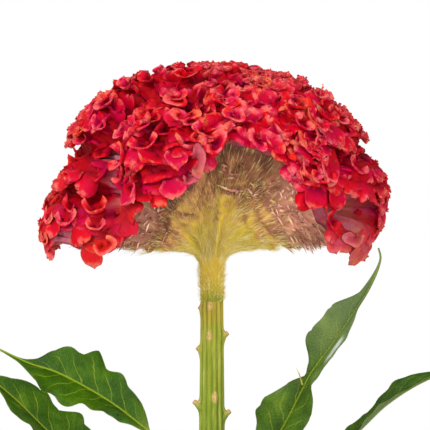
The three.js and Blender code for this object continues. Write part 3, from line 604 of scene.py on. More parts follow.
def band(index, share, length, height, swing, short, between=False):
    """One ruffled band round the head, closed, that hangs over in rounded tongues with narrow clefts.

    With it comes the perch, the values along the band that its lobes need.
    """
    t, total, azimuth, along, out, down = band_path(share)
    count = max(3, round(total / length))
    elevation = elevation_at(azimuth, share)
    circle = np.stack([np.cos(2 * math.pi * t), np.sin(2 * math.pi * t)], -1)
    chance = lambda cycles, salt: waves(circle, 2 * math.pi / cycles, 100 * index + salt)
    grain = zone(azimuth, elevation, GRANULAR)
    full = ruffle_stature(azimuth, elevation, share, short, between)
    stature = np.maximum(LEAST_STATURE, full * SMOOTH_BAND)

    # The swings, the tongues between them, and how tall the ruffle is and how far it swings
    phase = 2 * math.pi * count * t + 0.9 * np.sin(np.radians(azimuth * 3 + index * 70))
    phase = phase + 0.35 * chance(count * 0.7, 3)
    beat = 2 * phase + 1.1 * chance(count * 1.1, 7)
    tongue = 2 * np.abs(np.sin(beat / 2)) ** 0.65 - 1
    tongue_small = 2 * np.abs(np.sin(beat + 0.6 * chance(count * 2, 8))) ** 0.65 - 1
    tongue = lerp(tongue, tongue_small, 0.7 * grain)
    tall = stature * height * (1 + 0.12 * chance(count * 0.8, 1) + 0.13 * tongue)
    reach = stature * swing * (1 + 0.16 * chance(count * 0.6, 2))

    # The middle of the ruffle, which leans over from its root and swings more towards its rim
    rise = np.clip(BAND_STATIONS[:, None], 0, 1)
    droop = np.radians(lerp(66, 22, smoothstep(share, 0.1, 0.85)))
    angles = droop + np.radians(-26 + (44 - 34 * chance(count * 1.3, 6) * stature) * rise**1.4)
    ways = leaning(out, down, angles)
    steps = np.diff(BAND_STATIONS, prepend=BAND_STATIONS[0])[:, None] * tall
    lifts = np.cumsum(ways * steps[..., None], axis=0)
    lifts = lifts + ways[:1] * (BAND_STATIONS[0] * tall)[None, :, None]
    side = -out * math.sin(droop) + down * math.cos(droop)
    sway = (0.25 + 0.75 * rise**1.5) * 0.62 * np.sin(phase) - 0.42 * rise**1.3 * tongue
    loop = (0.2 * rise + 0.14 * rise**3) * np.sin(2 * phase)
    loop = loop + 0.2 * rise**2 * np.sin(beat) * (1 - 0.5 * grain)
    middle = skin_point(azimuth, share, PLUMP * 0.6) + lifts
    middle = middle + side * (sway * reach)[..., None] - along * (loop * reach)[..., None]

    # Frills and notches, finer towards the rim
    ruffle = 2 * math.pi * count * 5 * t + 2.2 * chance(count * 2, 4)
    frill = 2 * math.pi * count * 11 * t + 2.5 * chance(count * 3, 5)
    second = (0.3 + 0.35 * grain) * rise**2 * np.sin(ruffle + 0.8 * rise)
    third = (0.14 + 0.2 * grain) * rise**4 * np.sin(frill)
    middle = middle + sheet_normals(middle) * ((second + third) * stature)[..., None]
    notch = rise**6 * (0.3 + 0.4 * grain) * (0.5 * np.sin(ruffle * 1.5 + 1) + 0.5 * np.sin(frill + 2))
    middle = middle + ways * (notch * stature)[..., None]

    # Both faces and the rounded rim, shut inside the dome
    half = lerp(ROOT_HALF, EDGE_HALF, rise**0.7) * (0.85 if between else 1)
    half = half * np.sqrt(1.02 - np.clip((rise - 0.86) / 0.14, 0, 1) ** 2 * 0.55)
    lumps = np.abs(waves(middle.reshape(-1, 3), 2.4, 31 + index)).reshape(middle.shape[:2])
    half = half + 0.5 * (0.12 + 0.88 * grain) * lumps * rise
    tip = middle[-1] + ways[-1] * half[-1][:, None] * 0.8
    shift = sheet_normals(middle) * half[..., None]
    section = np.concatenate([middle - shift, tip[None], (middle + shift)[::-1]])
    points = pressed_in(section.reshape(-1, 3))
    faces = outward(points, [grid_faces(*section.shape[:2], wrap_rows=True, wrap_columns=True)])

    heights = np.concatenate([BAND_STATIONS, [1.05], BAND_STATIONS[::-1]])
    lift = np.clip(np.repeat(heights[:, None], len(t), 1), 0, 1)
    wide = lambda values: np.broadcast_to(values, lift.shape).ravel()
    # Painted shade: lift runs low from the ruffle's root, lower on short ruffles and in the folds, and the
    # rim is put further off in the folds, so the flesh darkens there and the rims' colours stay out.
    shade = fold_shade(azimuth, elevation)
    warm = zone(azimuth, elevation, WARM)
    attributes = {
        "lift": (lift * np.clip(tall / height, 0.3, 1) - 0.5 * shade).ravel(),
        "rim": ((1 - lift) * tall + 3 + 3 * shade).ravel(),
        "grain": wide(grain),
        "skin": wide(zone(azimuth, elevation, SMOOTH_SKIN) * (1 - smoothstep(tall, 1, 4))),
        "warm": wide(warm),
        "tone": wide(0.5 + 0.25 * chance(count, 9)),
        "vein": wide(t * total / 4),
    }
    perch = {"foot": middle[3], "azimuth": azimuth, "elevation": elevation, "along": along, "out": out}
    perch.update(down=down, grain=grain, stature=full, warm=warm)
    return (points, faces, attributes), perch


def lobe_places(perch, rng):
    """The perch's values at the feet of its lobes, which crowd more where the crest is granular."""
    path = path_lengths(perch["foot"])
    spacing = lerp(7.0, 5.0, perch["grain"])
    pace = np.concatenate([[0], np.cumsum(np.diff(path) / spacing[1:])])
    count = int(pace[-1])
    at = np.interp(np.arange(count) + rng.uniform(-0.25, 0.25, count), pace, np.arange(len(path)))
    at = np.clip(np.round(at).astype(int), 0, len(path) - 1)
    at = at[perch["stature"][at] > LEAST_LOBED]
    return {key: values[at] for key, values in perch.items()}


def lobe_faces(points, count):
    """The faces of lobes that are each a sleeve of rings, with its two halves joined at foot and tip."""
    around = 2 * LOBE_COLUMNS
    each = LOBE_ROWS * around
    j = np.arange(LOBE_COLUMNS - 1)
    root_cap = np.stack([j, j + 1, around - 2 - j, around - 1 - j], -1)
    tip_cap = (root_cap + each - around)[:, ::-1]
    local = np.concatenate([grid_faces(LOBE_ROWS, around, wrap_columns=True), root_cap, tip_cap])
    return [copies(outward(points[:each], [local])[0], count, each)]


def lobes(perch, seed):
    """Rounded fleshy tongues that hang or stand, and some open cups, along a ruffle."""
    rng = np.random.default_rng(seed)
    perch = lobe_places(perch, rng)
    grain, stature, elevation = perch["grain"], perch["stature"], np.radians(perch["elevation"])
    place = perch["azimuth"], perch["elevation"]
    along, down, out = perch["along"], perch["down"], perch["out"]
    count = len(grain)
    chance = lambda low, high: rng.uniform(low, high, count)
    spread = lambda middle, width: rng.normal(middle, width, count)

    # Which lobes are cups and which stand, their sizes, and how they lean, curl and arch across
    cup = rng.random(count) < CUP_SHARE * (1 - 0.5 * grain)
    stands = rng.random(count) < 0.85 * smoothstep(elevation, 0.3, 0.85)
    mauve = zone(*place, MAUVE)
    size = lerp(1, 0.7, grain) * (0.5 + 0.5 * stature) * chance(0.85, 1.15)
    size = size * (1 + 0.3 * mauve)
    long = LOBE_LENGTH * size * chance(0.85, 1.15)
    long = long * np.where(cup, 0.75, np.where(stands, 0.75, 1)) * lerp(1, 0.9, grain)
    long = long * lerp(lerp(0.65, 1, smoothstep(elevation, -0.32, -0.22)), 1.3, zone(*place, HANGING))
    half = LOBE_HALF * size * chance(0.85, 1.2)
    lean = np.radians(spread(72, 14) + 8 * (elevation < -0.1) + 20 * smoothstep(elevation, 0.3, 0.8))
    lean = np.where(stands, elevation - np.radians(spread(76, 14)), lean)
    lean = np.where(cup, np.clip(elevation + np.radians(spread(14, 12)), 0.2, 1.1), lean)
    curl = np.where(stands, spread(0.1, 0.4), spread(-0.35, 0.5)) * np.where(cup, 0.4, 1)
    arc = np.where(cup, chance(4.4, 5.7), rng.choice([-1, 1], count) * chance(0.6, 2.8))[:, None, None]
    yaw = spread(0, 0.3)[:, None]
    sideways = along * np.cos(yaw) - down * np.sin(yaw)
    falling = down * np.cos(yaw) + along * np.sin(yaw)

    # Each lobe's spine and half width, from its foot to its tip
    v = np.linspace(0, 1, LOBE_ROWS)[None, :]
    is_cup = cup[:, None, None]
    steps = np.linspace(-1, 1, LOBE_COLUMNS)[None, None, :]
    u = np.where(is_cup, steps, np.sin(steps * math.pi / 2))
    angle = lean[:, None] + curl[:, None] * v**1.4
    heading = leaning(out[:, None], falling[:, None], angle)
    face = out[:, None] * np.sin(angle)[..., None] - falling[:, None] * np.cos(angle)[..., None]
    spine = perch["foot"][:, None] + np.cumsum(heading * (long / (LOBE_ROWS - 1))[:, None, None], axis=1)
    spine = spine - heading[:, :1] * (long * 0.25)[:, None, None]
    tongue = (0.55 + 0.45 * smoothstep(v, 0, 0.55)) * np.sqrt(1.02 - np.clip((v - 0.45) / 0.55, 0, 1) ** 2.9)
    width = half[:, None] * np.where(cup[:, None], 0.55 + 1.35 * v**1.8, tongue)

    # Its middle sheet: an arc across, waved, with a scalloped tip
    rise = v[..., None]
    big = size[:, None, None]
    phase = rng.uniform(0, 2 * math.pi, (count, 1, 1))
    theta = u * arc / 2
    radius = 2 * width[..., None] / arc
    x, z = np.sin(theta) * radius, (1 - np.cos(theta)) * radius
    x, z = np.where(is_cup, 1.35, 1) * x, np.where(is_cup, 0.75, 1) * z
    turns = u * np.where(is_cup, 1.5, 1.0)
    wave = 1.4 * big * rise**1.5 * np.sin(2.8 * turns + phase) * (0.3 + 0.7 * np.abs(u))
    wave = wave + 0.6 * big * rise**2.5 * np.sin(6.5 * turns + 2 * phase)
    scallops = 1.7 * np.abs(np.sin(2.3 * turns + 3 * phase)) ** 0.7
    scallops = scallops + 0.8 * np.abs(np.sin(5.6 * turns + phase)) ** 0.7
    stretch = big * rise**3 * (scallops - 1.5) * np.where(is_cup, 0.6, 1)
    wave = wave * np.where(is_cup, 0.6, 1)
    away = face[:, :, None] * np.cos(theta)[..., None] - sideways[:, None, None] * np.sin(theta)[..., None]
    centre = spine[:, :, None] + sideways[:, None, None] * x[..., None] + face[:, :, None] * z[..., None]
    centre = centre + away * wave[..., None] + heading[:, :, None] * stretch[..., None]

    # Its thickness: even in a cup, knobby where the crest is granular
    edge = np.sqrt(1.01 - u * u)
    knob = (1.1 + 0.9 * np.sin(2.4 * rise)) * edge * tongue[..., None]
    thick = lerp(lerp(1.4, 0.6, rise) * edge * (0.5 + 0.5 * big), knob, 0.6 * grain[:, None, None])
    thick = np.where(is_cup, 0.6 * big, thick)
    lumps = np.abs(waves(centre.reshape(-1, 3), 2.6, seed)).reshape(thick.shape)
    thick = (thick + 0.45 * grain[:, None, None] * rise * lumps) * np.sqrt(1.002 - rise**6)
    shift = away * thick[..., None]
    loop = np.concatenate([centre + shift, (centre - shift)[:, :, ::-1]], axis=2)
    points = pressed_in(loop.reshape(-1, 3))

    def at_points(values):
        grid = np.broadcast_to(values, (count, LOBE_ROWS, LOBE_COLUMNS))
        return np.concatenate([grid, grid[:, :, ::-1]], axis=2).ravel()

    side = np.where(is_cup, 9.0, 2.4 + (1 - np.abs(u)) * width[..., None])
    end = (1 - rise) * long[:, None, None] * np.where(is_cup, 1.2, 1.0)
    # Painted shade: lift runs low at each lobe's foot and deep down a cup's throat, and lower in the folds,
    # where the rim is also put further off so the rims' colours stay out.
    shade = fold_shade(*place)[:, None, None]
    lift = np.where(is_cup, 1.2 * rise**2.4 - 0.2, rise) - 0.5 * shade
    values = {"lift": lift, "rim": np.minimum(side, end) + 4 * shade}
    each = {"grain": grain, "skin": 0.75 * zone(*place, DRIED) + 0.45 * mauve, "warm": perch["warm"]}
    each["tone"] = rng.random(count)
    values.update({key: amounts[:, None, None] for key, amounts in each.items()})
    values["vein"] = u * 1.4 + 40 * rng.random((count, 1, 1))
    return points, lobe_faces(points, count), {key: at_points(grid) for key, grid in values.items()}


def crest_skin():
    """The fleshy dome that the bands grow out of, shut below where it sits on the fan."""
    rows, columns = 69, 320
    azimuth, shares = np.broadcast_arrays(azimuths(columns), np.linspace(0, 1, rows + 1)[:-1, None])
    elevation = elevation_at(azimuth, shares)
    skin = zone(azimuth, elevation, SMOOTH_SKIN)
    base = skin_point(azimuth, shares)
    lumps = 0.9 * np.abs(waves(base.reshape(-1, 3), 5, 8)) + 0.4 * waves(base.reshape(-1, 3), 2.2, 9)
    raised = (PLUMP + lumps.reshape(azimuth.shape)) * (1 - 0.85 * skin) * smoothstep(shares, 0, 0.03)
    outside = skin_point(azimuth, shares, raised)
    inner = azimuth[0]
    under = [seat_point(inner, share + 0 * inner) for share in (0.6, 0.0)]
    lip = lerp(under[1], outside[0], 0.6)
    rings = np.concatenate([np.stack(under), lip[None], outside])
    low = len(rings) - len(outside)
    extend = lambda values, fill: np.concatenate([np.full((low, columns), fill), values])
    # Painted shade: the skin between the ruffles takes a low lift and a far rim, the dark end of the flesh.
    return shut_rings(
        rings,
        lift=extend(0.02 + 0.06 * lumps.reshape(azimuth.shape), 0.15),
        rim=extend(np.full(azimuth.shape, 9.0), 9.0),
        grain=extend(zone(azimuth, elevation, GRANULAR) * 0.5, 0.0),
        skin=extend(skin, 0.7),
        warm=extend(0 * skin, 0.0),
        tone=extend(0 * skin, 0.5),
        vein=extend(azimuth / 4, 0.0),
    )


def twenty_sided():
    """The corners and the three-sided faces of a regular body of twenty faces."""
    golden = (1 + math.sqrt(5)) / 2
    corners = np.array([(-1, golden, 0), (1, golden, 0), (-1, -golden, 0), (1, -golden, 0)], float)
    corners = normalised(np.concatenate([corners, np.roll(corners, 1, axis=1), np.roll(corners, 2, axis=1)]))
    triples = np.array(list(itertools.combinations(range(len(corners)), 3)))
    sides = np.linalg.norm(corners[triples] - corners[np.roll(triples, 1, axis=1)], axis=-1)
    faces = triples[sides.max(1) < 1.2]
    a, b, c = (corners[faces[:, k]] for k in range(3))
    inward = np.einsum("ij,ij->i", np.cross(b - a, c - a), corners[faces].mean(1)) < 0
    faces[inward] = faces[inward][:, ::-1]
    return corners, faces


def grains(parts, seed):
    """Small knobs that crowd on the rims of the crest's lobes where it is granular."""
    rng = np.random.default_rng(seed)
    points, _, attributes = join(parts)
    likely = attributes["grain"] * smoothstep(attributes["lift"], 0.6, 0.95)
    at = rng.choice(len(points), GRAIN_COUNT, replace=False, p=likely / likely.sum())
    corners, faces = twenty_sided()
    each = len(corners)
    size = rng.uniform(0.25, 0.55, (GRAIN_COUNT, 1, 1)) * rng.uniform(0.8, 1.2, (GRAIN_COUNT, each, 1))
    middle = points[at] + rng.normal(0, 0.15, (GRAIN_COUNT, 3))
    made = (middle[:, None] + corners[None] * size).reshape(-1, 3)
    values = {key: np.repeat(kept[at], each) for key, kept in attributes.items()}
    values["rim"] = np.repeat(rng.uniform(0, 5, GRAIN_COUNT), each)
    return made, [copies(faces, GRAIN_COUNT, each)], values


def crest_finish():
    """Red flesh with painted shade in its depths and folds; towards its rims some dries, and some takes a
    painted pink sheen, a painted orange rim light and pale tips, part own colour and part painted highlight.
    """
    under = {"Subsurface_Weight": 0.3, "Subsurface_Radius": (1, 0.12, 0.12), "Subsurface_Scale": 2.5 * MM}
    f = Finish("crest_finish", Roughness=0.6, Specular_IOR_Level=0.06, **under)
    lift, rim, grain, warm, tone = (f.attribute(key) for key in ("lift", "rim", "grain", "warm", "tone"))
    fine, grit = f.noise(0.9, 3, 0.6), f.cells(1.1)
    streaks = f.noise(0.55, 3, 0.6, at=f.combined(f.attribute("vein") * 0.004, lift * 0.0012))

    # The flesh, with redder and purpler patches and dark streaks, and painted shade where lift is low: at the
    # roots between the ruffles, down the cups' throats and in the folds
    depth = lift + f.wobble(0.12, 6, 3)
    flesh = f.ramp(depth, [(0, 110, 0, 18), (0.3, 172, 0, 28), (0.6, 190, 0, 32), (1, 197, 0, 34)])
    flesh = f.mix(f.step(tone * 0.35 + f.noise(9), 0.58, 0.85) * 0.5, flesh, (182, 0, 70))
    flesh = f.mix(f.step(f.noise(8) - tone * 0.35, 0.3, 0.5) * 0.5, flesh, (188, 0, 6))
    flesh = f.mix(warm * 0.4, flesh, (206, 40, 24))
    flesh = f.mix(f.step(streaks, 0.48, 0.3, 0, 0.4), flesh, (126, 0, 26))

    # The rims: on some a painted pink sheen, on some a painted orange rim light where the thin edges would
    # let light through, and on some pale tips that are part own colour and part painted highlight
    frayed = rim + f.wobble(0.8, 1.8, 3, 0.6)
    outer = f.step(frayed, 4.4, 0.4)
    # Painted pink sheen near the rims, along the streaks.
    pink_sheen = f.step(f.noise(7) + tone * 0.3, 0.57, 0.8)
    flesh = f.mix(outer * pink_sheen * f.step(streaks, 0.44, 0.62, 0, 0.85), flesh, (216, 84, 118))
    # Painted orange rim light along the thin edges.
    painted_glow = f.step(frayed, 3, 0.2) * f.step(f.noise(5), 0.46, 0.64, 0, 0.7)
    flesh = f.mix(painted_glow * f.step(grain, 0, 1, 1, 0.45), flesh, (214, 42, 18))
    # Pale tips: part their own colour, part painted highlight.
    tip_and_highlight = f.step(f.math("MAXIMUM", grain, warm), 0, 1, 0.6, 0.95) * f.step(frayed, 4.2, 0.2)
    tip = f.step(fine * 0.4 + f.noise(3.5), 0.64, 0.8) + (warm * 0.6 + grain * 0.35)
    tip_and_highlight_tint = f.mix(f.step(f.noise(8), 0.4, 0.6), (238, 124, 80), (232, 114, 112))
    flesh = f.mix(f.math("MINIMUM", tip, 1) * tip_and_highlight, flesh, tip_and_highlight_tint)

    # A pale pink speckle, painted shade between the grains, and the bare skin
    # A pale pink speckle on the grains' outer parts.
    pink_speckle = grain * outer * f.step(f.noise(2.2, 3), 0.42, 0.62)
    flesh = f.mix(pink_speckle * 0.6, flesh, (202, 84, 92))
    # Painted shade between the grains.
    painted_gap_shade = grain * f.step(frayed, 4, 1) * f.step(grit, 0.4, 0.7)
    flesh = f.mix(painted_gap_shade * 0.7, flesh, (150, 4, 34))
    bare = f.ramp(f.noise(7, 3), [(0.35, 176, 108, 88), (0.55, 160, 76, 92), (0.7, 180, 104, 124)])
    f.colour(f.mix(f.attribute("skin"), flesh, bare))
    f.bump(fine * 0.35 + f.noise(0.4) * 0.3 - grit * grain * 1.2, 0.45, 0.8)
    return f.material


def make_crest():
    finish = crest_finish()
    add_piece("crest_skin", crest_skin(), finish, ["crest"])
    rows = [(i, *row, False) for i, row in enumerate(ROWS)]
    form = (BETWEEN_LENGTH, BETWEEN_HEIGHT, BETWEEN_SWING, False, True)
    rows += [(FIRST_BETWEEN + i, share, *form) for i, share in enumerate(ROWS_BETWEEN)]
    rows.sort(key=lambda row: row[1])
    every = []
    for name, some in (("low", rows[:6]), ("middle", rows[6:12]), ("top", rows[12:])):
        ruffles, crowd = [], []
        for row in some:
            ruffle, perch = band(*row)
            ruffles.append(ruffle)
            if row[0] in PLAIN_ROWS:
                perch["stature"] = perch["stature"] * at_the_ends(perch["azimuth"], 0.6, 0.8)
            crowd.append(lobes(perch, 500 + row[0]))
        add_piece(f"crest_ruffles_{name}", join(ruffles), finish)
        add_piece(f"crest_lobes_{name}", join(crowd), finish)
        every += ruffles + crowd
    add_piece("crest_grains", grains(every, 77), finish)


# The fan under the crest

def needles(roots, directions, lengths, radii, bends, share):
    """Fine three-sided hairs. Their bends are added to their directions past the middle."""
    count = len(roots)
    across = normalised(np.cross(directions, [0.31, 0.52, 0.79]))
    second = np.cross(directions, across)
    middle = roots + directions * (lengths * 0.5)[:, None]
    tips = middle + normalised(directions + bends) * (lengths * 0.5)[:, None]
    points = np.zeros((count, 7, 3))
    for k in range(3):
        turn = 2 * math.pi * k / 3
        spoke = (across * math.cos(turn) + second * math.sin(turn)) * radii[:, None]
        points[:, k] = roots + spoke
        points[:, 3 + k] = middle + spoke * 0.7
    points[:, 6] = tips
    quads = [(k, (k + 1) % 3, 3 + (k + 1) % 3, 3 + k) for k in range(3)]
    triangles = [(0, 2, 1)] + [(3 + k, 3 + (k + 1) % 3, 6) for k in range(3)]
    faces = [copies(group, count, 7) for group in (quads, triangles)]
    tone = np.repeat(np.random.default_rng(count).random(count), 7)
    return points.reshape(-1, 3), faces, {"tone": tone, "share": np.repeat(share, 7)}


def fan_relief(azimuth, share):
    """How far the fan's underside stands out in ridges and lumps."""
    azimuth, share = np.broadcast_arrays(azimuth, share)
    out = smoothstep(share, -0.2, 0.3)
    ridges = 0.35 * np.cos(np.radians(22 * azimuth + 40 * np.sin(np.radians(3 * azimuth)))) * out
    ridges = ridges * (1 - smoothstep(share, 0.85, 1))
    rib = -RIB_DEPTH * np.cos(STEM_RIBS * np.radians(azimuth - 90)) * (1 - smoothstep(share, -1, 0.1))
    spine = 1.5 * np.exp(-((turn_between(azimuth, 14) / 9) ** 2)) * smoothstep(share, 0, 0.2)
    spine = spine * (1 - smoothstep(share, 0.5, 0.95))
    base = fan_point(azimuth, share)
    lumps = 0.7 * waves(base.reshape(-1, 3), 7, 3).reshape(share.shape) * smoothstep(share, 0.35, 0.7)
    return ridges + rib + spine + lumps * (1 - smoothstep(share, 0.9, 1))


def fan_normal(azimuth, share):
    """The ways straight out of the fan's skin and outwards along it."""
    across = fan_point(azimuth + 1, share) - fan_point(azimuth - 1, share)
    outwards = fan_point(azimuth, share + 0.02) - fan_point(azimuth, share - 0.02)
    return normalised(np.cross(across, outwards)), normalised(outwards)


def fan_root(azimuth, share, raised):
    """Places raised a little over the fan's skin, with the same two ways."""
    normal, outwards = fan_normal(azimuth, share)
    over = fan_relief(azimuth, share) + raised
    return fan_point(azimuth, share) + normal * over[:, None], normal, outwards


def fan_body():
    neck_rows, rows, columns = 11, 44, 336
    shares = np.concatenate([np.linspace(-1, 0, neck_rows + 1)[:-1], np.linspace(0, 1, rows)])[:, None]
    azimuth, shares = np.broadcast_arrays(azimuths(columns), shares)
    base = fan_point(azimuth, shares)
    normal, _ = fan_normal(azimuth, shares)
    outside = base + normal * fan_relief(azimuth, shares)[..., None]
    inner = azimuth[0]
    top = [seat_point(inner, share + 0 * inner, SEAT_GAP) for share in (0.0, 0.5, 0.85)]
    rings = np.concatenate([outside, np.stack(top)])
    high = np.ones((len(top), columns))
    fill = lambda values: np.concatenate([values, high])
    return shut_rings(rings, share=fill(shares), turn=fill(azimuth / 180))


def fan_hairs(seed, count, low, high, length, lifted, coarse):
    """Hairs that sweep out over the fan from the stem, a share of them coarse."""
    rng = np.random.default_rng(seed)
    azimuth = rng.uniform(-180, 180, count)
    share = low + (high - low) * rng.random(count) ** 0.8
    roots, normal, outwards = fan_root(azimuth, share, -0.1)
    lift = np.radians(lifted + rng.normal(0, 9, count))
    swirl = 0.35 * np.sin(np.radians(azimuth * 5 + 40)) + rng.normal(0, 0.16, count)
    across = np.cross(normal, outwards) * swirl[:, None]
    directions = normalised(leaning(outwards, normal, lift) + across)
    bends = -normal * 0.35 + rng.normal(0, 0.16, (count, 3))
    lengths = length * rng.uniform(0.5, 1.25, count)
    is_coarse = rng.random(count) < coarse
    radii = np.where(is_coarse, rng.uniform(0.09, 0.13, count), rng.uniform(0.05, 0.08, count))
    return needles(roots, directions, lengths, radii, bends, share)


# Tufts of papery florets on the fan: azimuth, share of the way out, how many, and their spread.
TUFTS = [
    (13, 0.84, 20, 0.5), (21, 0.81, 20, 0.5), (29, 0.79, 16, 0.5), (23, 0.72, 9, 0.3), (39, 0.76, 14, 0.4),
    (7, 0.55, 7, 0.3), (48, 0.9, 30, 0.5), (52, 0.94, 30, 0.5), (50, 0.85, 14, 0.4), (57, 0.92, 34, 0.6),
    (62, 0.95, 34, 0.6), (67, 0.91, 30, 0.6), (73, 0.93, 28, 0.6), (75, 0.86, 24, 0.7), (82, 0.8, 16, 0.7),
    (-43, 0.9, 24, 0.6), (-48, 0.86, 24, 0.7), (-40, 0.84, 18, 0.5), (-56, 0.83, 16, 0.6),
    (-76, 0.88, 18, 0.6), (-46, 0.96, 26, 0.4), (-100, 0.8, 22, 1), (124, 0.8, 28, 1),
    (158, 0.84, 28, 1), (-160, 0.8, 28, 1), (-128, 0.78, 28, 1),
]


def florets(seed):
    """Small dry bracts, each a thin pointed blade folded along its middle."""
    rng = np.random.default_rng(seed)
    stations = np.array([0, 0.18, 0.42, 0.68, 0.88, 1])
    widths = np.array([0.25, 0.8, 1, 0.72, 0.3, 0.04])
    ring = np.array([(-1, 0.16), (0, -0.12), (1, 0.16), (0, 0.06)])
    parts = []
    for middle, level, count, spread in TUFTS:
        azimuth = middle + rng.normal(0, 6 * spread, count)
        share = np.clip(level + rng.normal(0, 0.07 * spread, count), 0.2, 0.98)
        roots, normal, outwards = fan_root(azimuth, share, 0.1)
        lift = np.radians(rng.uniform(10, 60, count))
        across = np.cross(normal, outwards)
        swing = rng.normal(0, 1.0, count)[:, None]
        directions = normalised(leaning(outwards, normal, lift) + across * swing)
        side = normalised(np.cross(directions, normal))
        back = np.cross(side, directions)
        lengths = rng.uniform(2.6, 5.2, count)
        wide = rng.uniform(0.25, 0.55, count)
        grid = np.zeros((count, len(stations), len(ring), 3))
        for i, (station, width) in enumerate(zip(stations, widths)):
            spine = roots + directions * (lengths * station)[:, None] + back * (0.9 * station**2)[..., None]
            for k, (u, v) in enumerate(ring):
                grid[:, i, k] = spine + side * (u * width * wide)[:, None] + back * (v * wide)[:, None]
        points = grid.reshape(-1, 3)
        size = len(stations) * len(ring)
        ends = np.array([[3, 2, 1, 0], np.arange(4) + size - 4])
        local = np.concatenate([grid_faces(len(stations), len(ring), wrap_columns=True), ends])
        tone = np.repeat(rng.random(count), size)
        tip = np.tile(np.repeat(stations, len(ring)), count)
        parts.append((points, [copies(local, count, size)], {"tone": tone, "tip": tip}))
    return join(parts)


def fan_finish():
    f = Finish("fan_finish", Roughness=0.7, Specular_IOR_Level=0.15)
    share, turn = f.attribute("share"), f.attribute("turn")
    streaks = f.noise(0.9, 3, 0.6, at=f.combined(turn * 0.18, share * 0.012))
    level = share + f.wobble(0.14, 9, 3) + f.step(turn, -0.12, -0.26, -0.05, 0.04)
    # Towards its rim the body runs to dark brown: partly its own brown, partly painted shadow under the
    # crest.
    body = f.ramp(f.step(level, -1, 1), [
        (0, 140, 146, 34), (0.1, 188, 172, 46), (0.25, 216, 186, 56), (0.86, 224, 188, 60),
        (0.92, 204, 156, 86), (0.96, 160, 104, 72), (1, 96, 54, 44),
    ])
    olive = f.step(share, -0.1, 0.2) * f.step(f.noise(13), 0.42, 0.66, 0, 0.6)
    body = f.mix(olive * f.step(share, 0.75, 0.5), body, (170, 164, 42))
    right = f.step(turn, 0.2, 0.32) * f.step(share, 0.74, 0.92)
    left = f.step(turn, -0.14, -0.22) * f.step(share, 0.78, 0.92)
    body = f.mix(right * 0.85, body, (212, 146, 124))
    body = f.mix(left * 0.7, body, (184, 122, 104))
    body = f.mix(f.step(streaks, 0.5, 0.7, 0, 0.5), body, (246, 222, 140))
    body = f.mix(f.step(streaks, 0.44, 0.28, 0, 0.35), body, (146, 108, 40))
    f.colour(body)
    f.bump(streaks, 0.5, 0.8)
    return f.material


def hair_finish():
    f = Finish("hair_finish", Roughness=0.6, Specular_IOR_Level=0.2)
    gold = f.ramp(f.attribute("tone"), [(0, 206, 178, 64), (0.5, 234, 214, 122), (1, 250, 236, 182)])
    tan = f.ramp(f.attribute("tone"), [(0, 128, 80, 60), (0.7, 176, 124, 92), (1, 236, 196, 158)])
    f.colour(f.mix(f.step(f.attribute("share"), 0.74, 0.92), gold, tan))
    return f.material


def floret_finish():
    f = Finish("floret_finish", Roughness=0.7, Specular_IOR_Level=0.2)
    tone = f.ramp(f.attribute("tone"), [
        (0, 136, 78, 70), (0.35, 196, 130, 112), (0.65, 228, 172, 148), (0.9, 250, 220, 190),
        (1, 232, 184, 66),
    ])
    f.colour(f.mix(f.step(f.attribute("tip"), 0.4, 1, 0, 0.4), tone, (220, 150, 130)))
    f.bump(f.noise(0.5), 0.1)
    return f.material


def make_fan():
    add_piece("fan_body", fan_body(), fan_finish(), ["fan"])
    hairs = hair_finish()
    on_fan = fan_hairs(41, count=12500, low=0, high=0.95, length=6, lifted=12, coarse=0.1)
    on_neck = fan_hairs(42, count=1100, low=-1, high=0.3, length=2.8, lifted=42, coarse=0.6)
    add_piece("fan_hairs", on_fan, hairs)
    add_piece("neck_hairs", on_neck, hairs)
    add_piece("fan_florets", florets(43), floret_finish())


# Stem

def stem_radius(height):
    return lerp(STEM_FOOT_RADIUS, STEM_TOP_RADIUS, (height - STEM_FOOT) / (STEM_TOP - STEM_FOOT))


def stem_body():
    """The ribbed stem, raised at the leaf scars, and pale and corky on them."""
    rows, columns = 140, 108
    turn = (np.arange(columns) * 360 / columns)[None, :]
    turn, height = np.broadcast_arrays(turn, np.linspace(STEM_FOOT, STEM_TOP + 0.5, rows)[:, None])
    azimuth = turn + 90
    wander = 0.25 * np.sin(height * 0.05 + 2 * np.radians(turn))
    rib = np.cos(STEM_RIBS * np.radians(turn) + wander)
    radius = stem_radius(height) - RIB_DEPTH * np.sign(rib) * np.abs(rib) ** 0.8
    scar = np.zeros(radius.shape)
    pale = np.zeros(radius.shape)
    for middle, level, proud in LEAF_SCARS:
        wide = turn_between(azimuth, middle) * np.radians(1) * stem_radius(level)
        over = height - level
        away = (wide / 2.2) ** 2 + np.where(over > 0, over / 1.6, over / 3.2) ** 2
        scar = np.maximum(scar, np.exp(-away * 1.1) * min(1, proud / 2.4))
        away = (wide / 1.4) ** 2 + (over / 2.6) ** 2
        pale = np.maximum(pale, np.exp(-(away**1.5)))
    rings = aim(azimuth, 0 * turn) * (radius + 1.5 * scar)[..., None]
    rings[..., 2] = height
    return shut_rings(rings, rib=rib, level=height, scar=pale)


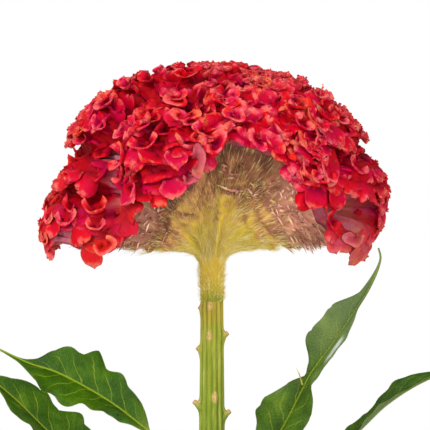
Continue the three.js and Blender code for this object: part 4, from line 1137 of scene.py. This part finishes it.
def stem_finish():
    """Green with darker grooves, yellower above and browner below."""
    f = Finish("stem_finish", Roughness=0.5, Specular_IOR_Level=0.25)
    level = f.attribute("level")
    along = f.noise(1.1, 3, at=f.stretched((1, 1, 0.1)))
    green = f.ramp(f.step(level + f.wobble(6, 7), 150, 212), [
        (0, 118, 136, 26), (0.5, 134, 144, 34), (0.85, 150, 152, 40), (1, 172, 148, 40),
    ])
    green = f.mix(f.step(f.attribute("rib"), 0.35, 0.95) * 0.6, green, (72, 92, 14))
    green = f.mix(f.step(along, 0.48, 0.7, 0, 0.5), green, (176, 176, 84))
    green = f.mix(f.step(along, 0.44, 0.3, 0, 0.4), green, (86, 104, 16))
    green = f.mix(f.step(level, 128, 96, 0, 0.5), green, (120, 92, 46))
    corky = f.ramp(f.noise(0.8, 3), [(0.35, 166, 124, 70), (0.65, 206, 178, 112)])
    f.colour(f.mix(f.step(f.attribute("scar"), 0.25, 0.7, 0, 0.9), green, corky))
    f.bump(along + f.noise(0.4), 0.16)
    return f.material


def stub(azimuth, level, proud, seed):
    """What a fallen leaf left: a small ridged peg that leans up, with a dished end."""
    out = aim(azimuth, 38.0)
    across = aim(azimuth + 90, 0.0)
    over = np.cross(out, across)
    base = aim(azimuth, 0.0) * (stem_radius(level) + (proud - 3) * 0.4) + np.array([0, 0, level - 1])
    length = 1.5 + proud / 2
    shares = np.array([-0.7, 0, 0.35, 0.7, 0.9, 1, 0.97, 0.9])
    radii = np.array([2.2, 2, 1.5, 1.25, 1.2, 1.05, 0.7, 0.2])
    turns = ring_turns(20)
    ridges = 1 + 0.07 * np.sin(5 * turns + seed)
    rings = []
    for share, radius in zip(shares, radii):
        circle = across * (np.cos(turns) * radius * ridges)[:, None]
        circle = circle + over * (np.sin(turns) * radius * ridges * 0.85)[:, None]
        rings.append(base + out * length * share + circle)
    rings = np.stack(rings)
    rings[..., 2] = np.minimum(rings[..., 2], STEM_TOP + 2)
    return shut_rings(rings, tip=np.repeat(np.clip(shares, 0, 1)[:, None], len(turns), 1))


def stub_finish():
    f = Finish("stub_finish", Roughness=0.7)
    aged = f.attribute("tip") + f.wobble(0.2, 0.7)
    f.colour(f.ramp(aged, [(0, 124, 140, 36), (0.6, 150, 150, 60), (0.95, 190, 152, 96)]))
    f.bump(f.noise(0.4, 3), 0.15)
    return f.material


def make_stem():
    add_piece("stem_body", stem_body(), stem_finish(), ["stem"])
    stubs = [stub(*scar, seed) for seed, scar in enumerate(LEAF_SCARS) if scar[2] > LEAST_STUB]
    add_piece("stem_stubs", join(stubs), stub_finish())


# Leaves

# The leaves in the photo: points of the midrib, ways that the face looks along it, the stalk's share of the
# length, half widths left and right of the midrib, how far either half folds up, and the edges' waves.
UPPER_LEAVES = [
    {
        "midrib": [
            (-4, -4, 134), (-26, -10, 154), (-42, -13, 167), (-65, -15, 180), (-77, -15, 184),
            (-91, -13, 190.5),
        ],
        "faces": [(0.2, -0.85, 0.5), (0.3, -0.8, 0.5)], "petiole": 0.3,
        "widths": [(6, 6, 6, 6, 8, 14.5, 17, 14, 8), (11, 11, 11, 11, 11, 16, 12, 5, 4)],
        "folds": (18, 14), "wave": 1.8, "waves": 4,
    },
    {
        "midrib": [
            (-5.5, 2, 124), (-26, 8, 129), (-56, 12, 140), (-72, 13, 154.5), (-86, 14, 168), (-106, 14, 184),
        ],
        "faces": [(0.1, -0.6, 0.8), (0.3, -0.8, 0.5)], "petiole": 0.22,
        "widths": [(15, 15, 12, 9), (17, 17, 13, 20)],
        "folds": (30, 12), "wave": 1.8, "waves": 3.5,
    },
    {
        "midrib": [
            (6, -2, 127), (18, -8, 141), (29, -12, 155.5), (35.8, -16, 168.5), (41.5, -20, 180),
            (49.5, -24, 191.5), (59.3, -28, 206), (66.2, -30, 217.5), (69.9, -31, 228.5), (69, -31, 232.6),
        ],
        "faces": [
            (-0.1, -0.9, 0.35), (-0.15, -0.9, 0.35), (-0.5, -0.8, 0.3), (-0.5, -0.8, 0.1), (-0.5, -0.8, 0),
        ],
        "petiole": 0.14, "widths": [(15, 15, 15, 13, 2.5, 11, 13, 12, 8), (14, 15, 16, 15, 10, 7, 4, 3, 3)],
        "folds": (18, 30), "wave": 2.2, "waves": 3.5,
    },
    {
        "midrib": [(5, 4, 120), (38, 8, 135), (61, 9, 152.5), (75, 9, 165.5), (91, 8, 175.5), (112, 7, 183)],
        "faces": [(-0.3, -0.35, 0.88), (-0.3, -0.35, 0.88)], "petiole": 0.25,
        "widths": [(6, 6, 6, 5, 5, 10, 10), (6, 6, 7, 6, 3, 3, 4)],
        "folds": (25, 32), "wave": 1.2, "waves": 3,
    },
]
# The leaves below them: azimuth, height on the stem, length, how far the middle arches, half width.
LOWER_LEAVES = [
    (181, 119, 92, 16, 16), (18, 118, 90, 16, 17), (-142, 122, 98, 18, 17), (124, 113, 96, 20, 17),
    (62, 107, 88, 16, 16), (-28, 104, 84, 15, 15), (-88, 108, 86, 15, 15),
]
PETIOLE_HALF = 1.3
BLADE_THICKNESS = 0.55
# Side veins on either half of a blade, and the share of its length by which each sweeps forward.
SIDE_VEINS = 10
VEIN_SWEEP = 0.17
# The tail: the shares of the blade's length where it narrows, and by how much.
TAIL_FROM = 0.68
TAIL_TO = 0.88
TAIL_LOSS = 0.7
# The dry bract beside leaf 3: its foot, the way it points and bends, its length and its radius.
BRACT_FOOT = (38, -18.5, 175)
BRACT_WAY = (-0.3, 0, 1)
BRACT_BEND = (-0.15, 0.1, 0)
BRACT_LENGTH = 8.5
BRACT_RADIUS = 0.45


def lower_leaf(index, azimuth, height, length, arch, width):
    sway = 7 if index % 2 else -7

    def at(share, rise):
        out = aim(azimuth + sway * share, 0.0) * (stem_radius(height) - 1 + share * length)
        return (out[0], out[1], height + rise)

    return {
        "midrib": [at(0, 0), at(0.3, arch * 0.75), at(0.6, arch), at(0.82, arch * 0.6), at(1, -arch * 0.1)],
        "faces": [tuple(aim(azimuth + 180, 70.0)), tuple(aim(azimuth, 60.0))],
        "petiole": 0.2, "widths": [(width, width), (width, width)],
        "folds": (16, 16), "wave": 2, "waves": 3 + (index % 3) * 0.5,
    }


def curve_through(stations, count=600):
    """Points of a smooth curve through some stations, evenly paced by the square root of their spacing."""
    p = np.array(stations, float)
    p = np.concatenate([[2 * p[0] - p[1]], p, [2 * p[-1] - p[-2]]])
    made = []
    for k in range(1, len(p) - 2):
        x0, x1, x2, x3 = p[k - 1 : k + 3]
        d0, d1, d2 = (math.sqrt(np.linalg.norm(b - a)) for a, b in ((x0, x1), (x1, x2), (x2, x3)))
        m1 = ((x1 - x0) / d0 - (x2 - x0) / (d0 + d1) + (x2 - x1) / d1) * d1
        m2 = ((x2 - x1) / d1 - (x3 - x1) / (d1 + d2) + (x3 - x2) / d2) * d1
        t = np.linspace(0, 1, count // (len(p) - 3), endpoint=False)[:, None]
        bend = (-3 * x1 + 3 * x2 - 2 * m1 - m2) * t**2
        made.append(x1 + m1 * t + bend + (2 * x1 - 2 * x2 + m1 + m2) * t**3)
    return np.concatenate([*made, p[-2:-1]])


def amongst(values, share):
    """Values at some shares of the way through evenly spaced ones."""
    values = np.array(values, float)
    return np.interp(share * (len(values) - 1), np.arange(len(values)), values)


def blade_shape(share, petiole):
    """The half width at a share of a leaf's length: widest below the middle, drawn in to a narrow tail."""
    along = np.clip((share - petiole) / (1 - petiole), 0, 1)
    tail = 1 - TAIL_LOSS * smoothstep(along, TAIL_FROM, TAIL_TO)
    return 2.745 * along**0.6 * (1 - along) ** 0.9 * tail


def leaf_path(midrib, faces, share):
    """Places along a midrib, with the ways to the right of it and out of the blade's face."""
    path = curve_through(midrib)
    reached = path_lengths(path)
    reached /= reached[-1]
    middle = np.stack([np.interp(share, reached, path[:, k]) for k in range(3)], -1)
    tangent = normalised(np.gradient(middle, axis=0))
    face = np.stack([amongst(values, share) for values in zip(*faces)], -1)
    right = normalised(np.cross(tangent, face))
    return middle[:, None], right[:, None], normalised(np.cross(right, tangent))[:, None]


def leaf(index, midrib, faces, petiole, widths, folds, wave, waves):
    """A leaf: a thin blade with waved, lobed edges, a midrib below and side veins sunk into its face."""
    rows, columns = 92, 25
    share = np.linspace(0, 1, rows)
    middle, right, up = leaf_path(midrib, faces, share)
    u = np.sin(np.linspace(-1, 1, columns) * math.pi / 2) * 0.5 + np.linspace(-1, 1, columns) * 0.5
    s, u = np.broadcast_arrays(share[:, None], u[None, :])
    half = (u >= 0).astype(float)
    blade = smoothstep(s, petiole * 0.7, petiole + 0.1)

    # The outline, with its crinkles and teeth
    shape = blade_shape(s, petiole)
    crinkle = 1 + 0.09 * np.sin(4 * math.pi * waves * s + 1.5 * half)
    teeth = 1 + 0.11 * (np.abs(np.sin(math.pi * SIDE_VEINS * s + half + index)) ** 0.7 - 0.7)
    spread = np.where(half > 0, amongst(widths[1], s), amongst(widths[0], s)) * shape * crinkle * teeth
    width = np.maximum(PETIOLE_HALF * (1 - s * 0.7), spread)

    # The waved edges, the quilting between the side veins and the trough over the midrib
    lift = wave * blade * u * u * shape * np.sin(2 * math.pi * waves * s + 2.1 * half)
    lift = lift + 0.45 * blade * np.abs(u) ** 5 * shape * np.sin(2 * math.pi * SIDE_VEINS * 1.4 * s + half)
    along = np.clip((s - petiole) / (1 - petiole), 0, 1)
    vein_at = (along - VEIN_SWEEP * np.abs(u) ** 0.85) * SIDE_VEINS + 0.5 * half
    between = np.abs((vein_at % 1) - 0.5) * 2
    quilt = 0.5 * blade * shape * (1 - between**3) * smoothstep(np.abs(u), 0, 0.3)
    quilt = quilt * (1 - smoothstep(np.abs(u), 0.75, 1))
    trough = 0.35 * blade * np.exp(-((u * width / 1.1) ** 2))
    tilt = np.radians(np.where(half > 0, folds[1], folds[0]) * blade)
    centre = middle + right * (u * width * np.cos(tilt))[..., None]
    centre = centre + up * (np.abs(u) * width * np.sin(tilt) + lift + quilt - trough)[..., None]

    # The thickness: a round stalk, a thin blade and the midrib's rib below
    round_part = PETIOLE_HALF * np.sqrt(np.maximum(0.02, 1 - (u * 0.95) ** 2))
    thin = BLADE_THICKNESS / 2 * np.sqrt(np.maximum(0.05, 1 - np.abs(u) ** 8))
    half_thick = lerp(round_part, thin, blade)
    rib = 0.75 * (1 - along * 0.8) * np.exp(-((u * width / 0.9) ** 2))
    above = centre + up * half_thick[..., None]
    below = centre - up * (half_thick + rib * blade)[..., None]
    pair = lambda a, b: np.concatenate([a, b[:, ::-1]], axis=1)
    both = {"across": u, "along": along, "blade": blade}
    both.update(inset=(1 - np.abs(u)) * width, offset=np.abs(u) * width)
    both = {key: pair(values, values) for key, values in both.items()}
    return shut_rings(pair(above, below), under=pair(0 * u, 0 * u + 1), **both)


def leaf_finish(shade):
    """A leaf's green; the third shade is the greyest and palest."""
    paler = (-8, -5, 12)[shade]
    grey = (0, 0, 22)[shade]
    f = Finish(f"leaf_finish_{shade}", Roughness=0.42, Specular_IOR_Level=0.16)
    across, along, inset = f.attribute("across"), f.attribute("along"), f.attribute("inset")
    sweep = abs(across) ** 0.85 * VEIN_SWEEP
    right = f.math("GREATER_THAN", across, 0) * 0.5
    vein_at = (along - sweep) * SIDE_VEINS + right + f.wobble(0.14, 9)
    to_vein = abs(f.math("FRACT", vein_at + 0.5) - 0.5)
    side_vein = f.step(to_vein, 0.06, 0.015) * f.step(inset, 1, 6)
    midrib = f.step(f.attribute("offset"), 0.6, 0.25)
    veins = f.math("MAXIMUM", side_vein * 0.6, midrib)
    net = f.step(f.cells(1.7, "DISTANCE_TO_EDGE"), 0.12, 0.02)
    green = f.ramp(f.noise(11, 3), [
        (0.3, 36 + paler, 70 + paler - grey / 3, grey),
        (0.55, 58 + paler, 94 + paler - grey / 3, grey),
        (0.75, 88 + paler, 118 + paler - grey / 3, 10 + grey),
    ])
    green = f.mix(f.step(to_vein, 0.3, 0.5, 0, 0.35), green, (36, 74, 2))
    green = f.mix(net * 0.12, green, (96, 130, 24))
    green = f.mix(veins * 0.7, green, (138, 156, 36))
    green = f.mix(f.step(inset, 0.5, 0.1, 0, 0.4), green, (110, 120, 50))
    pale = f.mix(veins * 0.8, (104, 124, 66), (160, 172, 116))
    green = f.mix(f.attribute("under") * 0.75, green, pale)
    if shade == 2:
        green = f.mix(f.step(along, 0.42, 0.6, 0, 0.5), green, (96, 108, 70))
        # A whitish stripe on the right half near its edge: painted sheen on a curled part of the blade.
        near = f.step(abs(along - 0.58), 0.07, 0.03)
        painted_sheen_strip = f.step(abs(across - 0.7), 0.2, 0.08)
        green = f.mix(near * painted_sheen_strip * 0.85, green, (166, 176, 170))
    stalk = f.mix(f.step(f.noise(3), 0.4, 0.65), (112, 136, 30), (140, 152, 56))
    f.colour(f.mix(f.attribute("blade"), stalk, green))
    relief = f.noise(1.2, 3) * 0.5 - veins * 0.6
    f.bump(relief - net * 0.35, 0.28, 0.8)
    return f.material


def bract():
    foot, way, bend = (np.array([values], float) for values in (BRACT_FOOT, BRACT_WAY, BRACT_BEND))
    one = np.ones(1)
    return needles(foot, normalised(way), one * BRACT_LENGTH, one * BRACT_RADIUS, bend, one)


def bract_finish():
    f = Finish("bract_finish", Roughness=0.6)
    f.colour(f.ramp(f.noise(2), [(0.3, 196, 178, 60), (0.7, 222, 208, 120)]))
    return f.material


def make_leaves():
    finishes = [leaf_finish(shade) for shade in range(3)]
    leaves = UPPER_LEAVES + [lower_leaf(i, *row) for i, row in enumerate(LOWER_LEAVES)]
    for i, form in enumerate(leaves):
        add_piece(f"leaf_{i + 1}_blade", leaf(i, **form), finishes[i % 3], [f"leaf_{i + 1}"])
    add_piece("leaf_3_bract", bract(), bract_finish())


# Pot and soil

def pot_inside(height):
    """The radius of the pot's inside at a height."""
    share = (height - POT_FLOOR) / (POT_HEIGHT - POT_FLOOR)
    return lerp(POT_FOOT_RADIUS - POT_WALL, POT_TOP_RADIUS - POT_WALL, share)


def soil_mounds(x, y):
    return np.sin(0.11 * x + 1.3) * np.cos(0.13 * y - 0.6)


def soil_body(edge, hole):
    """Dark potting mix, lumpy on top, with a hole for the stem."""
    rows, columns = 60, 180
    radii = np.concatenate([[edge - 0.1, edge], np.linspace(edge, hole, rows)[1:]])
    heights = np.full(len(radii) - 1, SOIL_TOP)
    radii = np.concatenate([[pot_inside(POT_FLOOR) - SOIL_CLEARANCE], radii, [hole]])
    heights = np.concatenate([[POT_FLOOR, SOIL_TOP - 3], heights, [SOIL_TOP - 12]])
    turn = ring_turns(columns)
    x = radii[:, None] * np.cos(turn)
    y = radii[:, None] * np.sin(turn)
    lumps = np.sin(0.83 * x + 0.9 * np.sin(0.6 * y)) * np.sin(0.9 * y + 1.1 * np.sin(0.5 * x))
    flat = np.stack([x, y], -1).reshape(-1, 2)
    grit = np.abs(waves(flat, 4.2, 5)) * 0.9 + 0.35 * np.abs(waves(flat, 1.9, 6)) - 0.6
    relief = SOIL_BUMP * (0.6 * soil_mounds(x, y) + 0.4 * lumps) + grit.reshape(x.shape)
    relief = relief * np.isclose(heights, SOIL_TOP)[:, None]
    return shut_rings(np.stack([x, y, heights[:, None] + relief], -1), crumb=relief)


def crumb(rng, x, y, size):
    """One bit of bark or grit: a small lumpy stone shape, half sunk."""
    turns = ring_turns(7)
    stretch = rng.uniform(0.6, 1.3, 3) * (1, 1, 0.6)
    spin = rng.uniform(0, math.pi)
    rings = []
    for level in np.radians([-60, -20, 20, 60]):
        radius = math.cos(level) * rng.uniform(0.8, 1.15, len(turns))
        rings.append(ring_points(turns, radius, np.sin(level)))
    c, s = math.cos(spin), math.sin(spin)
    rings = np.stack(rings) * stretch * size @ np.array([[c, -s, 0], [s, c, 0], [0, 0, 1]])
    height = SOIL_TOP + SOIL_BUMP * 0.6 * soil_mounds(x, y) + size * 0.25
    return shut_rings(rings + (x, y, height), tone=np.full(rings.shape[:2], rng.random()))


def soil_finish():
    f = Finish("soil_finish", Roughness=0.95, Specular_IOR_Level=0.2)
    # A little lighter on the lumps and darker in the hollows, by the relief.
    f.colour(f.ramp(f.noise(2.2, 4, 0.65) + f.attribute("crumb") * 0.05, [
        (0.3, 34, 24, 18), (0.55, 66, 46, 33), (0.75, 98, 72, 52),
    ]))
    f.bump(f.noise(0.7, 4, 0.7), 0.6)
    return f.material


def crumb_finish():
    f = Finish("crumb_finish", Roughness=0.9)
    f.colour(f.ramp(f.attribute("tone"), [
        (0, 44, 30, 22), (0.45, 92, 64, 44), (0.8, 132, 98, 68), (0.93, 216, 208, 190),
    ]))
    f.bump(f.noise(0.5, 3), 0.3)
    return f.material


def make_soil():
    hole = STEM_FOOT_RADIUS + RIB_DEPTH
    edge = pot_inside(SOIL_TOP) - SOIL_CLEARANCE
    rng = np.random.default_rng(12)
    bits = []
    for _ in range(CRUMB_COUNT):
        radius = math.sqrt(rng.uniform((hole + 2) ** 2, (edge - 1.5) ** 2))
        angle = rng.uniform(0, 2 * math.pi)
        size = rng.uniform(0.5, 1.5) * rng.uniform(0.7, 1.3)
        bits.append(crumb(rng, radius * math.cos(angle), radius * math.sin(angle), size))
    add_piece("soil_body", soil_body(edge, hole), soil_finish(), ["soil"])
    add_piece("soil_crumbs", join(bits), crumb_finish())


def clay_finish():
    f = Finish("clay_finish", Roughness=0.88, Specular_IOR_Level=0.25)
    clay = f.ramp(f.noise(30, 4, 0.6), [(0.3, 168, 92, 58), (0.55, 188, 108, 70), (0.75, 204, 128, 90)])
    lines = f.noise(9, 3, at=f.stretched((0.05, 0.05, 1.6)))
    clay = f.mix(f.step(lines, 0.45, 0.75, 0, 0.35), clay, (150, 80, 52))
    specks = f.step(f.noise(0.9, 2, 0.7), 0.66, 0.74)
    clay = f.mix(specks * 0.5, clay, (122, 66, 44))
    clay = f.mix(f.step(f.noise(16, 5, 0.65), 0.52, 0.72, 0, 0.35), clay, (222, 190, 164))
    f.colour(clay)
    f.bump(f.noise(0.8, 4, 0.65) + lines * 0.5, 0.3, 0.8)
    return f.material


# Stage, light and camera

def make_stage():
    turns = ring_turns(96)
    edge = ((1980, -4), (2000, -2), (1996, 0), (400, 0))
    points, faces, _ = shut_rings(np.stack([ring_points(turns, *place) for place in edge]))
    f = Finish("floor_finish", Roughness=0.9)
    f.colour(f.mix(f.step(f.noise(300), 0.3, 0.7), (240, 240, 240), (244, 243, 241)))
    floor = new_object("floor", points, faces, f.material)
    floor.data.shade_flat()


def add_light(name, place, size, power, colour=(1, 1, 1)):
    lamp = bpy.data.lights.new(name, "AREA")
    lamp.size = size
    lamp.energy = power
    lamp.color = colour
    light = bpy.data.objects.new(name, lamp)
    light.location = place
    towards = Vector((0, 0, 0.24)) - light.location
    light.rotation_euler = towards.to_track_quat("-Z", "Y").to_euler()
    bpy.context.scene.collection.objects.link(light)


def make_light():
    world = bpy.data.worlds.new("studio")
    world.use_nodes = True
    tree = world.node_tree
    background = tree.nodes["Background"]
    background.inputs["Color"].default_value = (1, 1, 1, 1)
    path = tree.nodes.new("ShaderNodeLightPath")
    strength = tree.nodes.new("ShaderNodeMapRange")
    strength.inputs["To Min"].default_value = 0.54
    strength.inputs["To Max"].default_value = 1.0
    tree.links.new(path.outputs["Is Camera Ray"], strength.inputs["Value"])
    tree.links.new(strength.outputs[0], background.inputs["Strength"])
    bpy.context.scene.world = world
    add_light("key", (-0.75, -1.0, 1.15), 0.7, 21, (1.0, 0.985, 0.96))
    add_light("fill", (1.0, -0.8, 0.5), 0.9, 6)
    add_light("low fill", (-0.15, -2.25, 0.3), 0.5, 11)
    bpy.context.scene.view_settings.view_transform = "Standard"


def make_camera():
    camera = bpy.data.cameras.new("camera")
    camera.sensor_width = SENSOR_WIDTH
    camera.lens = FOCAL_PIXELS * SENSOR_WIDTH / PHOTO_WIDTH
    camera.clip_start = 0.05
    camera.clip_end = 50
    holder = bpy.data.objects.new("camera", camera)
    holder.location = Vector(CAMERA_PLACE) * MM
    holder.rotation_euler = (math.pi / 2, 0, 0)
    bpy.context.scene.collection.objects.link(holder)
    bpy.context.scene.camera = holder


make_camera()
make_stage()
make_light()
make_crest()
make_fan()
make_stem()
make_leaves()
make_soil()
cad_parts["pot"].data.materials.clear()
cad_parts["pot"].data.materials.append(clay_finish())
